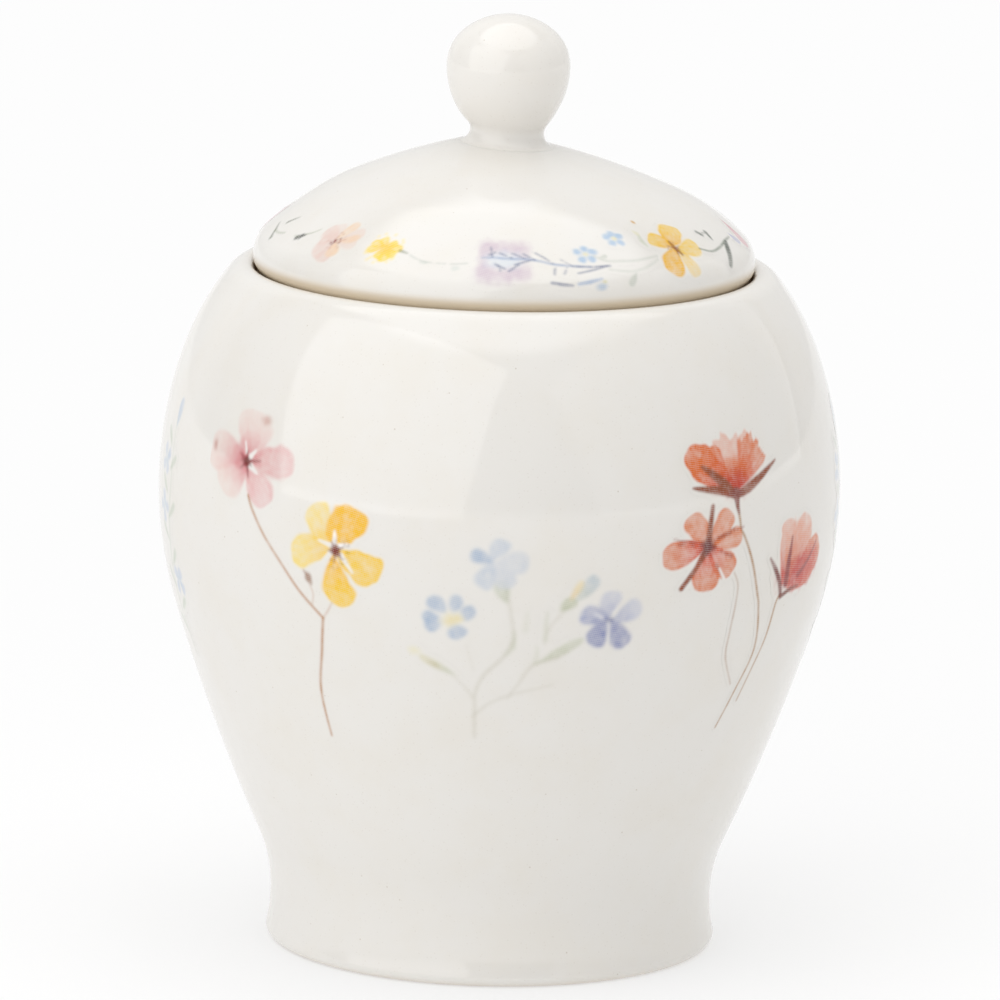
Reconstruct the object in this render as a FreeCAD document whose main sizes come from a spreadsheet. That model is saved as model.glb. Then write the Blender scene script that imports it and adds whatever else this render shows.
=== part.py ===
import FreeCAD
import Part
import Sketcher
import math
import os

# A lidded sugar bowl in glazed ceramic. Units are millimetres and +Z is up.
# The origin is the centre of the foot ring, on the surface that the bowl stands on.
# The bowl, its lid and the lid's knob are three pieces, each turned about the Z axis.

doc = FreeCAD.newDocument("SugarBowl")

# ---------------------------------------------------------------- driving sizes
# Radii are measured from the Z axis and heights from the foot, except where the
# note says that a radius is the radius of a curve in the section.
SIZES = [
    # the bowl's outside
    ("foot_face_radius", 32.6, "outer edge of the flat foot"),
    ("foot_edge_curve", 1.3, "curve that rounds the foot's outer edge"),
    ("foot_edge_top", 1.58, "height where that curve ends"),
    ("waist_curve", 24.0, "hollow curve of the waist above the foot"),
    ("waist_top", 16.6, "height where the waist's curve ends"),
    ("flare_curve", 290.0, "nearly straight flare up to the belly"),
    ("flare_top", 52.0, "height where the flare ends"),
    ("belly_curve", 60.6, "curve of the belly"),
    ("belly_top", 90.8, "height where the belly's curve ends"),
    ("shoulder_curve", 40.0, "curve of the shoulder"),
    ("shoulder_top", 101.5, "height where the shoulder meets the lip"),
    ("lip_outer_curve", 3.6, "outer half of the rolled lip"),
    # the seat for the lid, inside the lip
    ("lip_inner_curve", 1.2, "inner half of the rolled lip"),
    ("seat_height", 101.0, "ledge that the lid rests on"),
    ("seat_corner", 0.6, "curve where the ledge meets the lip's wall"),
    ("seat_edge_curve", 0.8, "curve at the ledge's inner edge"),
    ("throat_radius", 32.8, "opening inside the ledge"),
    ("throat_edge_curve", 1.6, "curve at the throat's lower edge"),
    ("ledge_underside", 96.9, "height of the ledge's underside"),
    # the bowl's inside, from the ledge down to the floor
    ("ledge_root_radius", 38.1, "where the ledge's underside starts to curve into the wall"),
    ("ledge_root_curve", 3.0, "curve from the ledge's underside into the wall"),
    ("ledge_root_foot", 95.5, "height where that curve ends"),
    ("inner_shoulder_curve", 36.0, "curve of the inner shoulder"),
    ("inner_shoulder_foot", 89.4, "height where the inner shoulder ends"),
    ("inner_belly_curve", 56.6, "curve of the inner belly"),
    ("inner_belly_foot", 53.1, "height where the inner belly ends"),
    ("inner_flare_curve", 286.0, "nearly straight inner flare"),
    ("inner_flare_foot", 14.5, "height where the inner flare ends"),
    ("floor_corner_curve", 12.0, "curve between the wall and the floor"),
    # the hollow under the foot
    ("foot_inner_radius", 27.4, "inner edge of the foot ring"),
    ("foot_hollow_depth", 3.2, "depth of the hollow under the foot"),
    ("foot_hollow_draft", 1.2, "how far the hollow narrows towards its top"),
    ("foot_ring_round", 0.9, "rounding of the foot ring's inner edge"),
    # the lid's underside, from the axis outwards
    ("lid_inner_top", 117.2, "height of the underside's top"),
    ("lid_inner_flat", 2.0, "radius of the small flat there"),
    ("lid_inner_dome", 48.0, "curve of the inner dome"),
    ("lid_inner_dome_foot", 110.85, "height where the inner dome ends"),
    ("lid_inner_corner", 5.0, "curve between the inner dome and the flange"),
    ("flange_foot", 94.8, "height of the flange's lower edge"),
    ("flange_edge_curve", 1.3, "rounded edges of the flange"),
    ("flange_radius", 31.8, "outside of the flange that drops into the throat"),
    ("flange_root_curve", 0.8, "curve where the flange meets the seat face"),
    # the lid's edge and top
    ("lid_lower_curve", 3.0, "underside of the lid's rounded edge"),
    ("lid_radius", 37.6, "widest radius of the lid"),
    ("lid_edge_curve", 5.3, "upper side of the lid's rounded edge"),
    ("lid_edge_top", 107.85, "height where the rounded edge ends"),
    ("dome_curve", 40.0, "outer part of the dome"),
    ("dome_top", 115.45, "height where the outer part of the dome ends"),
    ("crown_curve", 113.5, "flatter crown of the dome"),
    ("land_height", 121.4, "flat on the crown that the knob is stuck to"),
    # the knob, with heights measured from its own base
    ("knob_base_radius", 7.0, "foot of the flared neck"),
    ("knob_base_top", 0.12, "top of the thin upright edge round the foot of the neck"),
    ("neck_curve", 1.9, "hollow curve that flares from the neck out to the crown"),
    ("neck_top", 3.22, "height where the neck's curve ends"),
    ("ball_lower_curve", 13.1, "lower side of the ball"),
    ("ball_radius", 9.25, "widest radius of the ball"),
    ("ball_side_curve", 6.9, "upper side of the ball"),
    ("ball_side_top", 17.25, "height where the upper side ends"),
]

sheet = doc.addObject("Spreadsheet::Sheet", "Sizes")
value = {}
for row, (alias, number, note) in enumerate(SIZES, start=1):
    sheet.set("A%d" % row, alias)
    sheet.set("B%d" % row, str(number))
    sheet.set("C%d" % row, note)
    sheet.setAlias("B%d" % row, alias)
    value[alias] = number
doc.recompute()


# ---------------------------------------------------------------- sketch helper
class Outline:
    """Draws a half section in a sketch as a chain of straight lines and tangent curves.

    The pen starts at a point and remembers its place and its heading. Every stroke is first
    drawn where it should lie, then held by constraints that read the sheet.
    """

    def __init__(self, body, name):
        self.sketch = body.newObject("Sketcher::SketchObject", name)
        plane = None
        for feature in body.Origin.OriginFeatures:
            if feature.Role == "XZ_Plane":
                plane = feature
        self.sketch.AttachmentSupport = [(plane, "")]
        self.sketch.MapMode = "FlatFace"
        self.strokes = []
        self.rules = []

    def start(self, across, up, heading):
        self.first = (across, up)
        self.place = (self.number(across), self.number(up))
        self.heading = math.radians(heading)

    def number(self, word):
        if isinstance(word, str):
            return value[word]
        return float(word)

    def end_rules(self, stroke, across, up):
        for kind, word in (("DistanceX", across), ("DistanceY", up)):
            if isinstance(word, str):
                self.rules.append((kind, stroke, word))

    def line(self, across=None, up=None, smooth=False):
        """A straight stroke. A missing target means that the line is level or upright."""
        x0, y0 = self.place
        if smooth and across is not None:
            x1 = self.number(across)
            y1 = y0 + (x1 - x0) * math.tan(self.heading)
        elif smooth:
            y1 = self.number(up)
            x1 = x0 + (y1 - y0) / math.tan(self.heading)
        else:
            x1 = x0 if across is None else self.number(across)
            y1 = y0 if up is None else self.number(up)
        shape = Part.LineSegment(FreeCAD.Vector(x0, y0, 0), FreeCAD.Vector(x1, y1, 0))
        stroke = self.add(shape, 1, 2, smooth)
        if not smooth:
            if across is None:
                self.rules.append(("Vertical", stroke, None))
            if up is None:
                self.rules.append(("Horizontal", stroke, None))
        self.end_rules(stroke, across, up)
        self.place = (x1, y1)
        self.heading = math.atan2(y1 - y0, x1 - x0)
        return stroke

    def bend(self, side, curve, across=None, up=None, turn_to=None, smooth=True):
        """A circular stroke to the left or the right, of the radius named by curve.

        It ends at the named distance from the axis, at the named height, or where the
        pen's heading reaches turn_to degrees.
        """
        radius = self.number(curve)
        sign = 1.0 if side == "left" else -1.0
        x0, y0 = self.place
        cx = x0 - sign * radius * math.sin(self.heading)
        cy = y0 + sign * radius * math.cos(self.heading)
        first = self.heading - sign * math.pi / 2
        if turn_to is not None:
            choices = [math.radians(turn_to) - sign * math.pi / 2]
        elif up is not None:
            angle = math.asin((self.number(up) - cy) / radius)
            choices = [angle, math.pi - angle]
        else:
            angle = math.acos((self.number(across) - cx) / radius)
            choices = [angle, -angle]
        sweep = min((sign * (choice - first)) % (2 * math.pi) for choice in choices)
        last = first + sign * sweep
        circle = Part.Circle(FreeCAD.Vector(cx, cy, 0), FreeCAD.Vector(0, 0, 1), radius)
        if sign > 0:
            stroke = self.add(Part.ArcOfCircle(circle, first, last), 1, 2, smooth)
        else:
            stroke = self.add(Part.ArcOfCircle(circle, last, first), 2, 1, smooth)
        self.rules.append(("Radius", stroke, curve))
        self.end_rules(stroke, across, up)
        if turn_to is not None:
            level = abs(math.sin(math.radians(turn_to))) < 0.5
            self.rules.append(("CentreAbove" if level else "CentreBeside", stroke, None))
        self.place = (cx + radius * math.cos(last), cy + radius * math.sin(last))
        self.heading = last + sign * math.pi / 2
        return stroke

    def cap(self):
        """A circular stroke that meets the axis squarely. Its radius follows from that."""
        x0, y0 = self.place
        radius = x0 / math.sin(self.heading)
        cy = y0 + radius * math.cos(self.heading)
        first = self.heading - math.pi / 2
        circle = Part.Circle(FreeCAD.Vector(0, cy, 0), FreeCAD.Vector(0, 0, 1), radius)
        stroke = self.add(Part.ArcOfCircle(circle, first, math.pi / 2), 1, 2, True)
        self.rules.append(("CentreOnAxis", stroke, None))
        self.place = (0.0, cy + radius)
        self.heading = math.pi

    def add(self, shape, begin, end, smooth):
        index = self.sketch.addGeometry(shape, False)
        self.strokes.append((index, begin, end, smooth))
        return len(self.strokes) - 1

    def close(self):
        """Adds the constraints. The last stroke ends where the first one began."""
        sketch = self.sketch
        count = len(self.strokes)
        for number in range(count):
            index, begin, end, smooth = self.strokes[number]
            before, unused, before_end, ignored = self.strokes[number - 1]
            kind = "Tangent" if smooth else "Coincident"
            sketch.addConstraint(Sketcher.Constraint(kind, before, before_end, index, begin))
        index, begin = self.strokes[0][0], self.strokes[0][1]
        if self.first[1] == 0:
            sketch.addConstraint(Sketcher.Constraint("Coincident", index, begin, -1, 1))
        else:
            sketch.addConstraint(Sketcher.Constraint("PointOnObject", index, begin, -2))
            self.bind("DistanceY", index, begin, self.first[1])
        for kind, stroke, word in self.rules:
            index, begin, end, smooth = self.strokes[stroke]
            if kind in ("Horizontal", "Vertical"):
                sketch.addConstraint(Sketcher.Constraint(kind, index))
            elif kind == "CentreAbove":
                sketch.addConstraint(Sketcher.Constraint("Vertical", index, 3, index, end))
            elif kind == "CentreBeside":
                sketch.addConstraint(Sketcher.Constraint("Horizontal", index, 3, index, end))
            elif kind == "CentreOnAxis":
                sketch.addConstraint(Sketcher.Constraint("PointOnObject", index, 3, -2))
            elif kind == "Radius":
                self.bind("Radius", index, None, word)
            else:
                self.bind(kind, index, end, word)
        if sketch.solve() != 0:
            raise RuntimeError("%s has constraints that disagree" % sketch.Name)
        return sketch

    def bind(self, kind, index, point, word):
        """A dimension whose value is the named cell of the sheet."""
        number = self.number(word)
        if kind == "Radius":
            made = self.sketch.addConstraint(Sketcher.Constraint("Radius", index, number))
        else:
            made = self.sketch.addConstraint(
                Sketcher.Constraint(kind, -1, 1, index, point, number))
        name = "%s_%s_%d" % (word, kind.lower(), made)
        self.sketch.renameConstraint(made, name)
        self.sketch.setExpression("Constraints." + name, "Sizes." + word)


def turned(body, name, sketch, kind="Revolution"):
    """A full turn of a half section about the Z axis, as added or as removed clay."""
    feature = body.newObject("PartDesign::" + kind, name)
    feature.Profile = sketch
    feature.ReferenceAxis = (sketch, ["V_Axis"])
    feature.Angle = 360
    sketch.Visibility = False
    return feature


def circles_at(shape, radius, height):
    """Names of the circular edges that have this radius and lie at this height."""
    names = []
    for number, edge in enumerate(shape.Edges, start=1):
        curve = edge.Curve
        if curve.TypeId != "Part::GeomCircle":
            continue
        if abs(curve.Radius - radius) < 0.01 and abs(curve.Center.z - height) < 0.01:
            names.append("Edge%d" % number)
    return names


# ---------------------------------------------------------------- bowl
# One casting: foot, waist, belly and shoulder, a rolled lip, and a ledge inside the lip
# that carries the lid. The wall is about four millimetres thick all the way up.
bowl = doc.addObject("PartDesign::Body", "Bowl")
bowl.Label = "bowl"

wall = Outline(bowl, "BowlSection")
wall.start(0, 0, 0)
wall.line(across="foot_face_radius")
wall.bend("left", "foot_edge_curve", up="foot_edge_top")
wall.bend("right", "waist_curve", up="waist_top")
wall.bend("left", "flare_curve", up="flare_top")
wall.bend("left", "belly_curve", up="belly_top")
wall.bend("left", "shoulder_curve", up="shoulder_top")
wall.bend("left", "lip_outer_curve", turn_to=180)
wall.bend("left", "lip_inner_curve", turn_to=270)
wall.line(up=value["seat_height"] + value["seat_corner"], smooth=True)
wall.bend("right", "seat_corner", up="seat_height", turn_to=180)
wall.line(across=value["throat_radius"] + value["seat_edge_curve"], smooth=True)
wall.bend("left", "seat_edge_curve", across="throat_radius", turn_to=270)
wall.line(up=value["ledge_underside"] + value["throat_edge_curve"], smooth=True)
wall.bend("left", "throat_edge_curve", up="ledge_underside", turn_to=0)
wall.line(across="ledge_root_radius", smooth=True)
wall.bend("right", "ledge_root_curve", up="ledge_root_foot")
wall.bend("right", "inner_shoulder_curve", up="inner_shoulder_foot")
wall.bend("right", "inner_belly_curve", up="inner_belly_foot")
wall.bend("right", "inner_flare_curve", up="inner_flare_foot")
wall.bend("right", "floor_corner_curve", turn_to=180)
wall.line(across=0, smooth=True)
print("the bowl's floor is %.2f mm thick over the foot plane" % wall.place[1])
wall.line(up=0)
turned(bowl, "BowlWall", wall.close())
doc.recompute()

# The hollow under the foot leaves a ring for the bowl to stand on.
hollow = Outline(bowl, "FootHollowSection")
hollow.start(0, 0, 0)
hollow.line(across="foot_inner_radius")
hollow.line(across=value["foot_inner_radius"] - value["foot_hollow_draft"], up="foot_hollow_depth")
hollow.line(across=0)
hollow.line(up=0)
hollow_sketch = hollow.close()
before_hollow = bowl.Shape.Volume
turned(bowl, "FootHollow", hollow_sketch, "Groove")
doc.recompute()
print("foot hollow removes %.0f cubic mm" % (before_hollow - bowl.Shape.Volume))

# The foot ring's inner edge and the root of the hollow are rounded.
ring_edges = circles_at(bowl.Tip.Shape, value["foot_inner_radius"], 0)
ring_edges += circles_at(
    bowl.Tip.Shape,
    value["foot_inner_radius"] - value["foot_hollow_draft"],
    value["foot_hollow_depth"],
)
grooved = bowl.Tip
foot_round = bowl.newObject("PartDesign::Fillet", "FootRingRound")
foot_round.Base = (grooved, ring_edges)
foot_round.setExpression("Radius", "Sizes.foot_ring_round")
bowl.Tip = foot_round
doc.recompute()

# ---------------------------------------------------------------- lid
# A domed casting with a rounded edge. Its seat face rests on the bowl's ledge, and a
# flange below it drops into the throat and keeps the lid central.
lid = doc.addObject("PartDesign::Body", "Lid")
lid.Label = "lid"

dome = Outline(lid, "LidSection")
dome.start(0, "lid_inner_top", 0)
dome.line(across="lid_inner_flat")
dome.bend("right", "lid_inner_dome", up="lid_inner_dome_foot")
dome.bend("right", "lid_inner_corner", turn_to=270)
print("flange is %.2f mm thick" % (value["flange_radius"] - dome.place[0]))
dome.line(up=value["flange_foot"] + value["flange_edge_curve"], smooth=True)
dome.bend("left", "flange_edge_curve", up="flange_foot", turn_to=0)
dome.line(across=value["flange_radius"] - value["flange_edge_curve"], smooth=True)
dome.bend("left", "flange_edge_curve", across="flange_radius", turn_to=90)
dome.line(up=value["seat_height"] - value["flange_root_curve"], smooth=True)
dome.bend("right", "flange_root_curve", up="seat_height", turn_to=0)
dome.line(across=value["lid_radius"] - value["lid_lower_curve"], smooth=True)
dome.bend("left", "lid_lower_curve", across="lid_radius", turn_to=90)
dome.bend("left", "lid_edge_curve", up="lid_edge_top")
dome.bend("left", "dome_curve", up="dome_top")
dome.bend("left", "crown_curve", up="land_height")
print("the knob's land has a radius of %.2f mm" % dome.place[0])
dome.line(across=0)
dome.line(up=value["lid_inner_top"])
turned(lid, "LidShell", dome.close())

# ---------------------------------------------------------------- knob
# A slightly flattened ball on a short neck that flares out to the crown. It is cast apart
# from the lid and stuck to the land on it. The flare starts off nearly level.
knob = doc.addObject("PartDesign::Body", "Knob")
knob.Label = "knob"

ball = Outline(knob, "KnobSection")
ball.start(0, 0, 0)
ball.line(across="knob_base_radius")
ball.line(up="knob_base_top")
ball.heading = math.radians(166.7)
ball.bend("right", "neck_curve", up="neck_top", smooth=False)
ball.bend("left", "ball_lower_curve", across="ball_radius", turn_to=90)
ball.bend("left", "ball_side_curve", up="ball_side_top")
ball.cap()
ball.line(up=0)
turned(knob, "KnobBall", ball.close())
knob.setExpression("Placement.Base.z", "Sizes.land_height")
doc.recompute()

# ---------------------------------------------------------------- checks and files
for thing in doc.Objects:
    for word in ("Invalid", "Error"):
        if word in thing.State:
            raise RuntimeError("%s is %s" % (thing.Name, word))

os.makedirs("parts", exist_ok=True)
for piece in (bowl, lid, knob):
    shape = piece.Shape
    if shape.isNull() or not shape.isValid() or len(shape.Solids) != 1:
        raise RuntimeError("%s is not one valid solid" % piece.Label)
    box = shape.optimalBoundingBox(False)
    print("%s: %.0f cubic mm, radius %.2f, height %.2f to %.2f" % (
        piece.Label, shape.Volume, box.XMax, box.ZMin, box.ZMax))
    shape.exportStep("parts/%s.step" % piece.Label)
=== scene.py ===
import itertools
import math
import bpy
import numpy as np
from mathutils import Matrix, Vector


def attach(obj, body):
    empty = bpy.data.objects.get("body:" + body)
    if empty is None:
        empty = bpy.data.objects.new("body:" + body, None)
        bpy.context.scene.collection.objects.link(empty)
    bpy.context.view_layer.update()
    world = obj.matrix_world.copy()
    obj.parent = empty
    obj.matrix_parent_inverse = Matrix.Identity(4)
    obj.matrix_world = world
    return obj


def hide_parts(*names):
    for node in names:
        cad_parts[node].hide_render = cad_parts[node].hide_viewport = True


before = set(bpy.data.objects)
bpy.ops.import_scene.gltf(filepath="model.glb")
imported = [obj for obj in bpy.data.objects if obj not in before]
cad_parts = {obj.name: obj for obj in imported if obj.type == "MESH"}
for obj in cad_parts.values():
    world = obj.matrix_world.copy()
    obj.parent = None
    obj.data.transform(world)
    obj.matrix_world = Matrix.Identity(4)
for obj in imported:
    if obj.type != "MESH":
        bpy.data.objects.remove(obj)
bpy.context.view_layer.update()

# The sizes in this script are millimetres until a mesh is made.
MM = 0.001
TURN = 2 * math.pi
LAND = 121.4  # height of the flat on the lid's crown that the knob is stuck to
KNOB_SUNK = 0.09  # how far the knob sits into the glaze there
LEAN = 0.45  # how much higher or lower the lid's crown stands at its sides
SHARP_ANGLE = math.radians(38)


# ------------------------------------------------------------------ half sections
class Section:
    """A half section drawn with a pen: straight lines, and bends that start along the pen's heading."""

    def __init__(self, r, z, heading):
        self.points = [(r, z)]
        self.heading = math.radians(heading)

    def line(self, r=None, z=None, step=None):
        r0, z0 = self.points[-1]
        r1 = r0 if r is None else r
        z1 = z0 if z is None else z
        length = math.hypot(r1 - r0, z1 - z0)
        count = 1 if step is None else max(1, round(length / step))
        for k in range(1, count + 1):
            self.points.append((r0 + (r1 - r0) * k / count, z0 + (z1 - z0) * k / count))
        self.heading = math.atan2(z1 - z0, r1 - r0)

    def bend(self, side, radius, r=None, z=None, to=None, step=0.7):
        sign = 1 if side == "left" else -1
        r0, z0 = self.points[-1]
        cr = r0 - sign * radius * math.sin(self.heading)
        cz = z0 + sign * radius * math.cos(self.heading)
        first = self.heading - sign * math.pi / 2
        if to is not None:
            choices = [math.radians(to) - sign * math.pi / 2]
        elif z is not None:
            angle = math.asin((z - cz) / radius)
            choices = [angle, math.pi - angle]
        else:
            angle = math.acos((r - cr) / radius)
            choices = [angle, -angle]
        sweep = min((sign * (choice - first)) % TURN for choice in choices)
        count = max(6, round(radius * sweep / step))
        for k in range(1, count + 1):
            angle = first + sign * sweep * k / count
            self.points.append((cr + radius * math.cos(angle), cz + radius * math.sin(angle)))
        self.heading = first + sign * sweep + sign * math.pi / 2

    def cap(self, step=0.5):
        """A bend that meets the axis squarely."""
        r0, z0 = self.points[-1]
        radius = r0 / math.sin(self.heading)
        cz = z0 + radius * math.cos(self.heading)
        first = self.heading - math.pi / 2
        count = max(6, round(radius * (math.pi / 2 - first) / step))
        for k in range(1, count + 1):
            angle = first + (math.pi / 2 - first) * k / count
            self.points.append((radius * math.cos(angle), cz + radius * math.sin(angle)))
        self.points[-1] = (0.0, cz + radius)


def bowl_skin(step):
    """The bowl's outside, from the foot face up to the crest of the lip."""
    pen = Section(32.6, 0.0, 0)
    pen.bend("left", 1.3, z=1.58, step=min(step, 0.2))
    pen.bend("right", 24.0, z=16.6, step=step)
    pen.bend("left", 290.0, z=52.0, step=step)
    pen.bend("left", 60.6, z=90.8, step=step)
    pen.bend("left", 40.0, z=101.5, step=step)
    pen.bend("left", 3.6, to=180, step=min(step, 0.3))
    return pen


def lid_skin(step):
    """The lid's outside, from the seat face over the rounded edge to the land under the knob."""
    pen = Section(34.6, 101.0, 0)
    pen.bend("left", 3.0, to=90, step=min(step, 0.25))
    pen.bend("left", 5.3, z=107.85, step=min(step, 0.35))
    pen.bend("left", 40.0, z=115.45, step=step)
    pen.bend("left", 113.5, z=LAND, step=step)
    return pen


def bowl_outline():
    """The bowl's half section, from the middle of its underside round to the middle of its floor."""
    pen = Section(0.0, 3.2, 0)
    pen.line(r=26.0, step=2.0)
    pen.bend("right", 0.9, to=-80, step=0.15)
    pen.line(r=27.15, z=0.95, step=0.6)
    pen.bend("left", 0.95, to=0, step=0.15)
    pen.line(r=32.6, step=0.5)
    skin = bowl_skin(0.7)
    pen.points += skin.points[1:]
    pen.heading = math.pi
    pen.bend("left", 1.2, to=270, step=0.2)
    pen.line(z=101.6, step=0.1)
    pen.bend("right", 0.6, to=180, step=0.12)
    pen.line(r=33.6, step=0.5)
    pen.bend("left", 0.8, to=270, step=0.15)
    pen.line(z=98.5, step=0.4)
    pen.bend("left", 1.6, to=0, step=0.2)
    pen.line(r=38.1, step=0.5)
    pen.bend("right", 3.0, z=95.5, step=0.3)
    pen.bend("right", 36.0, z=89.4, step=0.8)
    pen.bend("right", 56.6, z=53.1, step=0.9)
    pen.bend("right", 286.0, z=14.5, step=0.9)
    pen.bend("right", 12.0, to=180, step=0.6)
    pen.line(r=0.0, step=2.0)
    return pen


def lid_outline():
    """The lid's half section, from the top of its underside round to the middle of the land."""
    pen = Section(0.0, 117.2, 0)
    pen.line(r=2.0, step=1.0)
    pen.bend("right", 48.0, z=110.85, step=0.8)
    pen.bend("right", 5.0, to=270, step=0.4)
    pen.line(z=96.1, step=0.8)
    pen.bend("left", 1.3, to=0, step=0.2)
    pen.line(r=30.5, step=0.4)
    pen.bend("left", 1.3, to=90, step=0.2)
    pen.line(z=100.2, step=0.5)
    pen.bend("right", 0.8, to=0, step=0.15)
    pen.line(r=34.6, step=0.4)
    pen.points += lid_skin(0.7).points[1:]
    pen.line(r=0.0, step=1.0)
    return pen


def knob_outline():
    """The knob's half section, from the middle of its base to the top of the ball."""
    foot = LAND - KNOB_SUNK
    pen = Section(0.0, foot, 0)
    pen.line(r=7.0, step=1.0)
    pen.line(z=foot + 0.12, step=0.1)
    pen.heading = math.radians(166.67)
    pen.bend("right", 1.9, z=foot + 3.22, step=0.12)
    pen.bend("left", 13.1, to=90, step=0.3)
    pen.bend("left", 6.9, z=foot + 17.25, step=0.3)
    pen.cap(step=0.3)
    return pen


# ------------------------------------------------------------------ hand-finished surface
def smooth(low, high, value):
    """A soft step from 0 at low to 1 at high."""
    t = np.clip((value - low) / (high - low), 0.0, 1.0)
    return t * t * (3 - 2 * t)


def waviness(angle, z):
    """How far the clay stands off a true turned shape, in millimetres."""
    total = 0.045 * np.sin(2 * angle + 0.5 + z * 0.021)
    total = total + 0.020 * np.sin(3 * angle + 1.9 - z * 0.060)
    total = total + 0.012 * np.sin(5 * angle + 4.0 + z * 0.110)
    total = total + 0.008 * np.sin(z * 0.330 + 2.0 * np.sin(angle + 0.7))
    return total


def crown_lean(r, z, angle):
    """How far the lid's crown, and the neck on it, stand higher on the left than a true turned shape."""
    reach = smooth(0.0, 7.5, r) * smooth(34.0, 24.0, r)
    height = smooth(108.5, 116.0, z) * smooth(LAND + 6.0, LAND + 1.0, z)
    return -LEAN * np.sin(angle) * reach * height


def place_on(r, z, angle):
    """Millimetre positions of points at radius r, height z and angle. Angle 0 faces -Y."""
    full = r + waviness(angle, z) * np.clip(r / 20.0, 0.0, 1.0)
    up = z + crown_lean(r, z, angle)
    return np.stack([full * np.sin(angle), -full * np.cos(angle), up], axis=-1)


def mesh_from(name, points, faces):
    """A new object in the scene, from points in metres and faces."""
    mesh = bpy.data.meshes.new(name)
    mesh.from_pydata([tuple(p) for p in points], [], faces)
    mesh.validate()
    mesh.update()
    piece = bpy.data.objects.new(name, mesh)
    bpy.context.scene.collection.objects.link(piece)
    return piece


def quads_between(low, high, around):
    """Faces that join two rings of points, each ring given by the number of its first point."""
    pairs = [(k, (k + 1) % around) for k in range(around)]
    return [(low + k, low + n, high + n, high + k) for k, n in pairs]


def lathe(name, outline, around):
    """A closed turned piece. The outline's first and last points lie on the axis."""
    middle = np.array(outline.points[1:-1])
    rows = len(middle)
    angles = np.arange(around) * TURN / around
    r, angle = np.meshgrid(middle[:, 0], angles, indexing="ij")
    z = np.repeat(middle[:, 1:2], around, axis=1)
    ring = place_on(r, z, angle).reshape(-1, 3)
    poles = [(0.0, 0.0, outline.points[0][1]), (0.0, 0.0, outline.points[-1][1])]
    points = np.vstack([ring, poles]) * MM
    first_pole, last_pole = rows * around, rows * around + 1
    faces = []
    for row in range(rows - 1):
        faces += quads_between(row * around, (row + 1) * around, around)
    top = (rows - 1) * around
    for k in range(around):
        n = (k + 1) % around
        faces.append((first_pole, n, k))
        faces.append((last_pole, top + k, top + n))
    piece = mesh_from(name, points, faces)
    piece.data.polygons.foreach_set("use_smooth", [True] * len(piece.data.polygons))
    piece.data.set_sharp_from_angle(angle=SHARP_ANGLE)
    return piece


# ------------------------------------------------------------------ node helpers
class Nodes:
    """Short calls for building a node tree. A socket takes a plain value or another node's output."""

    def __init__(self, tree, output):
        self.tree = tree
        self.tree.nodes.clear()
        self.output = self.add(output)

    def add(self, kind, sockets=(), **settings):
        node = self.tree.nodes.new(kind)
        for key, setting in settings.items():
            setattr(node, key, setting)
        for key, source in dict(sockets).items():
            if isinstance(source, bpy.types.NodeSocket):
                self.tree.links.new(source, node.inputs[key])
            else:
                node.inputs[key].default_value = source
        return node

    def finish(self, shader):
        self.tree.links.new(shader.outputs[0], self.output.inputs["Surface"])

    def attribute(self, name, output="Fac"):
        return self.add("ShaderNodeAttribute", attribute_name=name).outputs[output]

    def math(self, operation, a, b, clamp=False):
        return self.add("ShaderNodeMath", {0: a, 1: b}, operation=operation, use_clamp=clamp).outputs[0]

    def plus(self, a, b, clamp=False):
        return self.math("ADD", a, b, clamp)

    def times(self, a, b, clamp=False):
        return self.math("MULTIPLY", a, b, clamp)

    def mix(self, factor, a, b):
        return self.add("ShaderNodeMix", {0: factor, 6: a, 7: b}, data_type="RGBA").outputs[2]

    def blend_shaders(self, factor, a, b):
        return self.add("ShaderNodeMixShader", {0: factor, 1: a.outputs[0], 2: b.outputs[0]})

    def noise(self, vector, scale, detail=2.0, roughness=0.5):
        sockets = {"Vector": vector, "Scale": scale, "Detail": detail, "Roughness": roughness}
        return self.add("ShaderNodeTexNoise", sockets, noise_dimensions="3D").outputs["Fac"]

    def span(self, source, low, high, out_low=0.0, out_high=1.0):
        """A smooth step from out_low, where the source is low, to out_high, where it is high."""
        sockets = {"Value": source, "From Min": low, "From Max": high, "To Min": out_low,
                   "To Max": out_high}
        node = self.add("ShaderNodeMapRange", sockets, clamp=True, interpolation_type="SMOOTHSTEP")
        return node.outputs["Result"]

    def specks(self, vector, scale, radius, share):
        """Round specks: a cell of the given scale holds one when its random value is under share."""
        sockets = {"Vector": vector, "Scale": scale, "Randomness": 1.0}
        cells = self.add("ShaderNodeTexVoronoi", sockets, feature="F1", voronoi_dimensions="3D")
        spot = self.span(cells.outputs["Distance"], radius * SPECK_CORE, radius, 1.0, 0.0)
        split = self.add("ShaderNodeSeparateColor", {0: cells.outputs["Color"]})
        return self.times(spot, self.math("LESS_THAN", split.outputs[0], share))

    def bump(self, height, strength, distance):
        sockets = {"Height": height, "Strength": strength, "Distance": distance}
        return self.add("ShaderNodeBump", sockets).outputs["Normal"]


def new_material(name):
    """A material, and its emptied node tree."""
    material = bpy.data.materials.new(name)
    material.use_nodes = True
    return material, Nodes(material.node_tree, "ShaderNodeOutputMaterial")


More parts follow.
